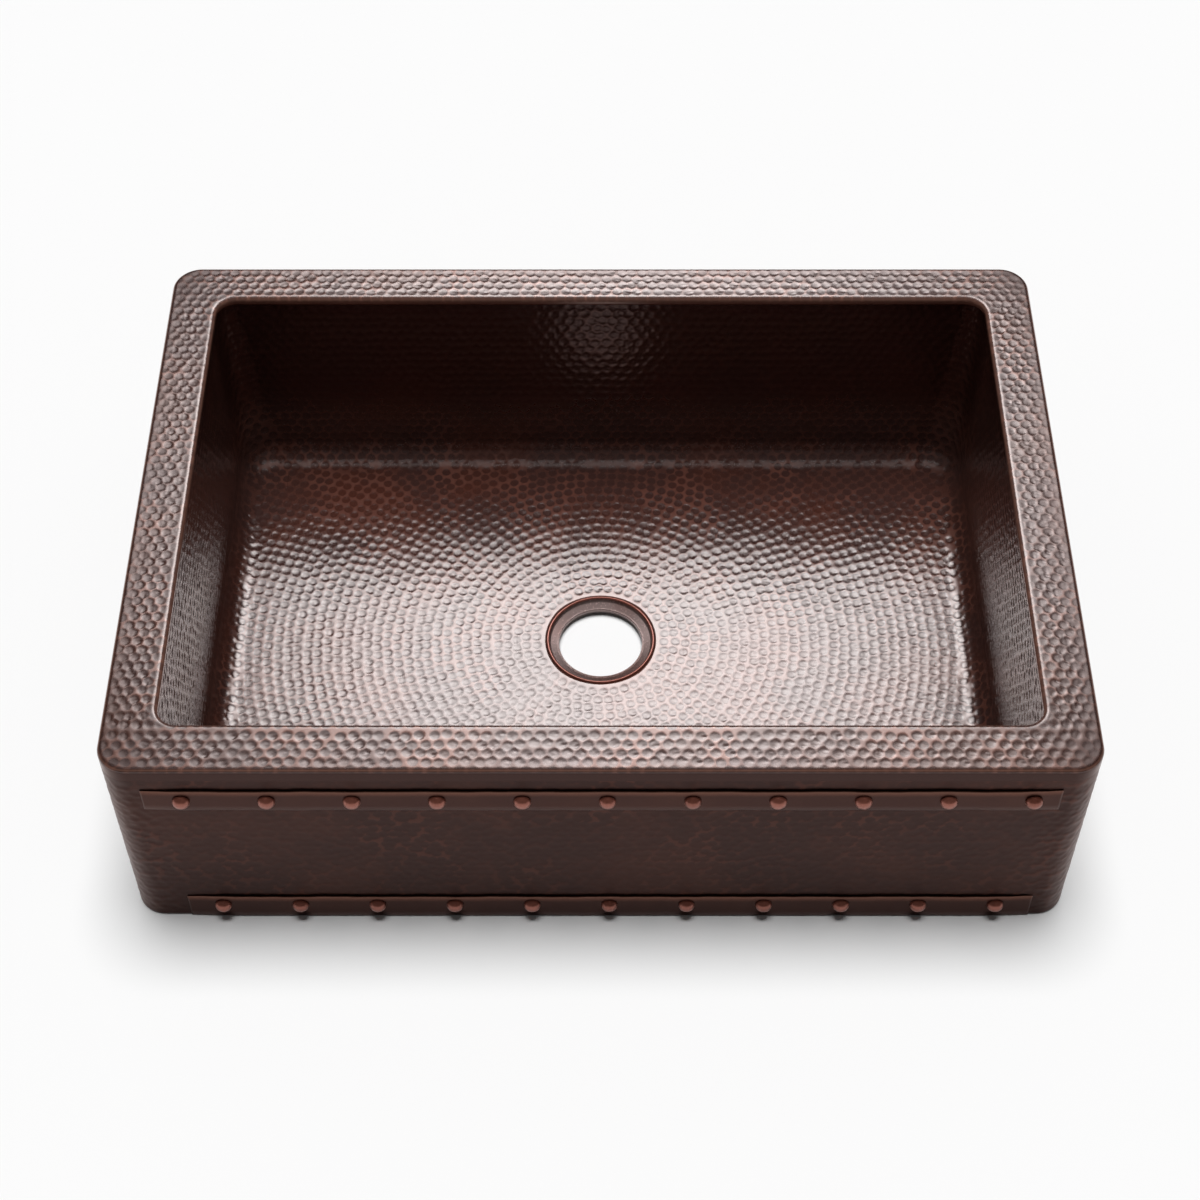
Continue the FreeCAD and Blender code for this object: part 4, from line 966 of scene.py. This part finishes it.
for strapName in ("strap_upper", "strap_lower"):
    makeStrap(strapName)
print("straps ready")

rivet = {"radius": 8.25, "height": 6.8, "rings": 7, "around": 28, "count": 11, "leastSize": 0.95, "seed": 3}


def rivetHead():
    # One domed head, flattened a little on top where the hammer closed it.
    a, h, rings, around = rivet["radius"], rivet["height"], rivet["rings"], rivet["around"]
    points, faces = [(0, 0, h)], []
    for k in range(1, rings + 1):
        t = k / rings
        r, z = a * math.sin(t * math.pi / 2) ** 0.92, h * math.cos(t * math.pi / 2) ** 0.9
        if k == rings:
            r, z = a, 0
        for j in range(around):
            turn = 2 * math.pi * j / around
            points.append((r * math.cos(turn), r * math.sin(turn), z))
    for j in range(around):
        faces.append([0, 1 + j, 1 + (j + 1) % around])
        for k in range(rings - 1):
            p, q = 1 + k * around, 1 + (k + 1) * around
            faces.append([p + j, q + j, q + (j + 1) % around, p + (j + 1) % around])
    faces.append([1 + (rings - 1) * around + j for j in reversed(range(around))])
    return makeMesh("rivetHead", np.array(points, float) * mm, faces)


def makeRivetTree():
    # A row of heads facing the front, a little uneven in size.
    tree, source = newShapeTree("rivetRow", {"Head": "Object", "Count": "Int", "First": "Vector", "Step": "Vector",
                                             "Seed": "Int", "Finish": "Material"}, "Row")
    line = addNode(tree, "GeometryNodeMeshLine", Count=source.outputs["Count"],
                   Start_Location=source.outputs["First"], Offset=source.outputs["Step"])
    head = addNode(tree, "GeometryNodeObjectInfo", {"transform_space": "ORIGINAL"}, Object=source.outputs["Head"])
    size = addNode(tree, "FunctionNodeRandomValue", {"data_type": "FLOAT"}, Min=rivet["leastSize"], Max=1.0,
                   Seed=source.outputs["Seed"])
    spots = addNode(tree, "GeometryNodeInstanceOnPoints", Points=line.outputs["Mesh"],
                    Instance=head.outputs["Geometry"], Rotation=(math.pi / 2, 0, 0), Scale=size.outputs["Value"])
    closeShapeTree(tree, spots.outputs["Instances"], source.outputs["Finish"], "Row")
    return tree


def makeRivets():
    # Eleven heads along each strap, standing on its face.
    head, tree, r = rivetHead(), makeRivetTree(), rivet["radius"]
    rows = []
    for node, strapNode in (("rivets_upper", "strap_upper"), ("rivets_lower", "strap_lower")):
        low, high = lowHigh(node)
        face = lowHigh(strapNode)[0][1]
        step = (high[0] - low[0] - 2 * r) / (rivet["count"] - 1)
        row = makeMesh("rubbed_" + node, np.zeros((1, 3)), [])
        applyTree(row, tree, Head=head, Count=rivet["count"], Seed=rivet["seed"], Finish=rivetCopper,
                  First=Vector((low[0] + r, face, (low[2] + high[2]) / 2)) * mm, Step=Vector((step, 0, 0)) * mm)
        row.data.shade_smooth()
        seatPiece(row, "rivet_copper", node)
        rows.append(row)
    bpy.data.objects.remove(head)
    return rows


rivetRows = makeRivets()
print("rivets", len(rivetRows[0].data.polygons), "faces in a row")

drain = {
    "hole": 44.45, "edge": 3.6, "sheet": 2, "recess": 7, "fall": 2.4, "crown": 1.6, "crownSteps": 11, "edgeDepth": 5.3,
    "cut": 0.06, "cuts": 22, "bead": 0.5, "around": 240, "wear": 0.9,  # cut: depth of the lathe's tool marks
}


def makeDrain():
    # One section turned round the drain: a crowned rim, a recessed floor with tool marks, a bead at the hole.
    outer, top, foot = seatHigh[0], seatHigh[2], seatLow[2]
    inner, hole, crown = outer - drain["edge"], drain["hole"], drain["crown"]
    seat, under = top - drain["recess"], top - drain["edgeDepth"]
    rise, wall = drain["fall"], drain["sheet"]
    profile = [(hole, foot), (hole + wall, foot), (hole + wall, seat - wall), (inner + wall, seat + rise - wall),
               (inner + wall, under), (outer, under), (outer, top - crown)]
    middle, half = (outer + inner) / 2, (outer - inner) / 2
    for a in np.radians(np.linspace(0, 180, drain["crownSteps"]))[1:-1]:
        profile.append((middle + half * math.cos(a), top - crown + crown * math.sin(a)))
    high, start, ease = seat + rise, inner - 1.2, 0.3
    profile += [(inner, top - crown), (inner, high + 1.2), (inner - 0.4, high + ease), (start, high - ease)]
    for k in range(1, drain["cuts"]):
        share = k / drain["cuts"]
        profile.append((start - (start - hole - 1.6) * share,
                        high - ease - (rise - ease) * share - drain["cut"] * (k % 2)))
    profile += [(hole + 1.6, seat), (hole + 1.2, seat + 0.4), (hole + 0.8, seat + drain["bead"]),
                (hole + 0.4, seat + 0.4), (hole, seat)]
    around, count = drain["around"], len(profile)
    points, faces = [], []
    for r, z in profile:
        for j in range(around):
            a = 2 * math.pi * j / around
            points.append((r * math.cos(a), r * math.sin(a) + drainY, z))
    for i in range(count):
        p, q = i * around, (i + 1) % count * around
        for j in range(around):
            k = (j + 1) % around
            faces.append([p + j, p + k, q + k, q + j])
    wear = [drain["wear"] if z > top - crown - 0.1 and r > inner else 0 for r, z in profile]
    piece = makeMesh("turned_drain_seat", np.array(points) * mm, faces,
                     {"wear": np.repeat(np.array(wear, float), around)})
    piece.data.materials.append(drainCopper)
    seatPiece(piece, "drain_copper", "drain_seat")


makeDrain()
print("drain ready")

# the stage is in metres and degrees
stage = {
    "groundHalf": 6.0, "paper": 0.96, "sky": 0.07, "sunShare": 0.95, "sunAngle": 29, "sunTilt": 6,
    "panelBright": 13.5, "panelHeight": 2.25, "panelMiddle": (0.05, 1.7), "panelReach": (1.38, 1.05),
    "topBright": 0.5, "topHeight": 2.6, "topHalf": 1.2, "topFrom": -0.3, "topTo": 0.9,
    "lens": 68.205, "lensShift": (-0.0005, -0.0298), "cameraPlace": (0, -1.45197, 1.96479), "cameraTilt": 38.713,
}


def emissive(name):
    # A plain glowing card; its strength socket is left for the caller.
    material, tree = newFinish(name)
    glow = addNode(tree, "ShaderNodeEmission")
    addNode(tree, "ShaderNodeOutputMaterial", Surface=glow.outputs[0])
    return material, glow


def makeCard(name, corners, material, onlyReflected=True):
    # A flat card of the stage; onlyReflected hides it from all but the shine of the metal.
    card = makeMesh(name, np.array(corners, float), [[0, 1, 2, 3]])
    card.data.materials.append(material)
    if onlyReflected:
        card.visible_camera = card.visible_diffuse = card.visible_shadow = False


def makeGround():
    # Matt white backdrop paper: it takes the soft shadow and shows no gloss.
    material = bpy.data.materials.new("paperGround")
    material.use_nodes = True
    surface = material.node_tree.nodes["Principled BSDF"]
    surface.inputs["Base Color"].default_value = (stage["paper"], stage["paper"], stage["paper"], 1)
    surface.inputs["Roughness"].default_value = 1
    surface.inputs["Specular IOR Level"].default_value = 0
    h = stage["groundHalf"]
    makeCard("ground", [(-h, -h, 0), (h, -h, 0), (h, h, 0), (-h, h, 0)], material, False)


def makePanel():
    # A bright soft panel above and behind, brightest in the middle, and a dim card right above the bowl.
    material, glow = emissive("panelLight")
    tree = material.node_tree
    place = addNode(tree, "ShaderNodeTexCoord")
    spot = addNode(tree, "ShaderNodeMapping", Vector=place.outputs["Object"])
    wide, deep = stage["panelReach"]
    (aside, middle), z = stage["panelMiddle"], stage["panelHeight"]
    spot.inputs["Location"].default_value = (-aside / wide, -middle / deep, -z)
    spot.inputs["Scale"].default_value = (1 / wide, 1 / deep, 1)
    away = addNode(tree, "ShaderNodeVectorMath", {"operation": "LENGTH"}, i0=spot.outputs[0])
    tree.links.new(rescale(tree, away.outputs["Value"], stage["panelBright"], 0.0), glow.inputs["Strength"])
    makeCard("panel", [(aside + x * wide, middle + y * deep, z) for x, y in ((-1, -1), (-1, 1), (1, 1), (1, -1))],
             material)
    over, shine = emissive("overheadCard")
    shine.inputs["Strength"].default_value = stage["topBright"]
    half, near, far, up = stage["topHalf"], stage["topFrom"], stage["topTo"], stage["topHeight"]
    makeCard("overhead", [(-half, near, up), (-half, far, up), (half, far, up), (half, near, up)], over)


def makeLamp():
    # A wide, soft overhead light: it lights the ground evenly and leaves a short shadow round the foot.
    lamp = bpy.data.lights.new("softOverhead", "SUN")
    lamp.energy = math.pi * stage["sunShare"]
    lamp.angle = math.radians(stage["sunAngle"])
    piece = bpy.data.objects.new("softOverhead", lamp)
    piece.rotation_euler = (math.radians(-stage["sunTilt"]), 0, 0)
    piece.visible_glossy = False
    bpy.context.scene.collection.objects.link(piece)


def makeWorld():
    # White where the camera looks, dim for everything else, as in a dark room with a lit backdrop.
    world = bpy.data.worlds.new("studio")
    world.use_nodes = True
    tree = world.node_tree
    rays = addNode(tree, "ShaderNodeLightPath").outputs
    seen = calc(tree, "MAXIMUM", rays["Is Camera Ray"], rays["Is Transmission Ray"])
    back = tree.nodes["Background"]
    back.inputs["Color"].default_value = (1, 1, 1, 1)
    tree.links.new(rescale(tree, seen, stage["sky"], 1.0), back.inputs["Strength"])
    bpy.context.scene.world = world


def makeCamera():
    # The view of the photo, solved from the corners of the rim, the opening and the apron.
    lens = bpy.data.cameras.new("photoCamera")
    lens.lens = stage["lens"]
    lens.sensor_width = 36
    lens.shift_x, lens.shift_y = stage["lensShift"]
    camera = bpy.data.objects.new("photoCamera", lens)
    camera.location = stage["cameraPlace"]
    camera.rotation_euler = (math.radians(stage["cameraTilt"]), 0, 0)
    bpy.context.scene.collection.objects.link(camera)
    bpy.context.scene.camera = camera


bpy.context.scene.view_settings.view_transform = "Standard"
makeGround()
makePanel()
makeLamp()
makeWorld()
makeCamera()
print("stage ready")
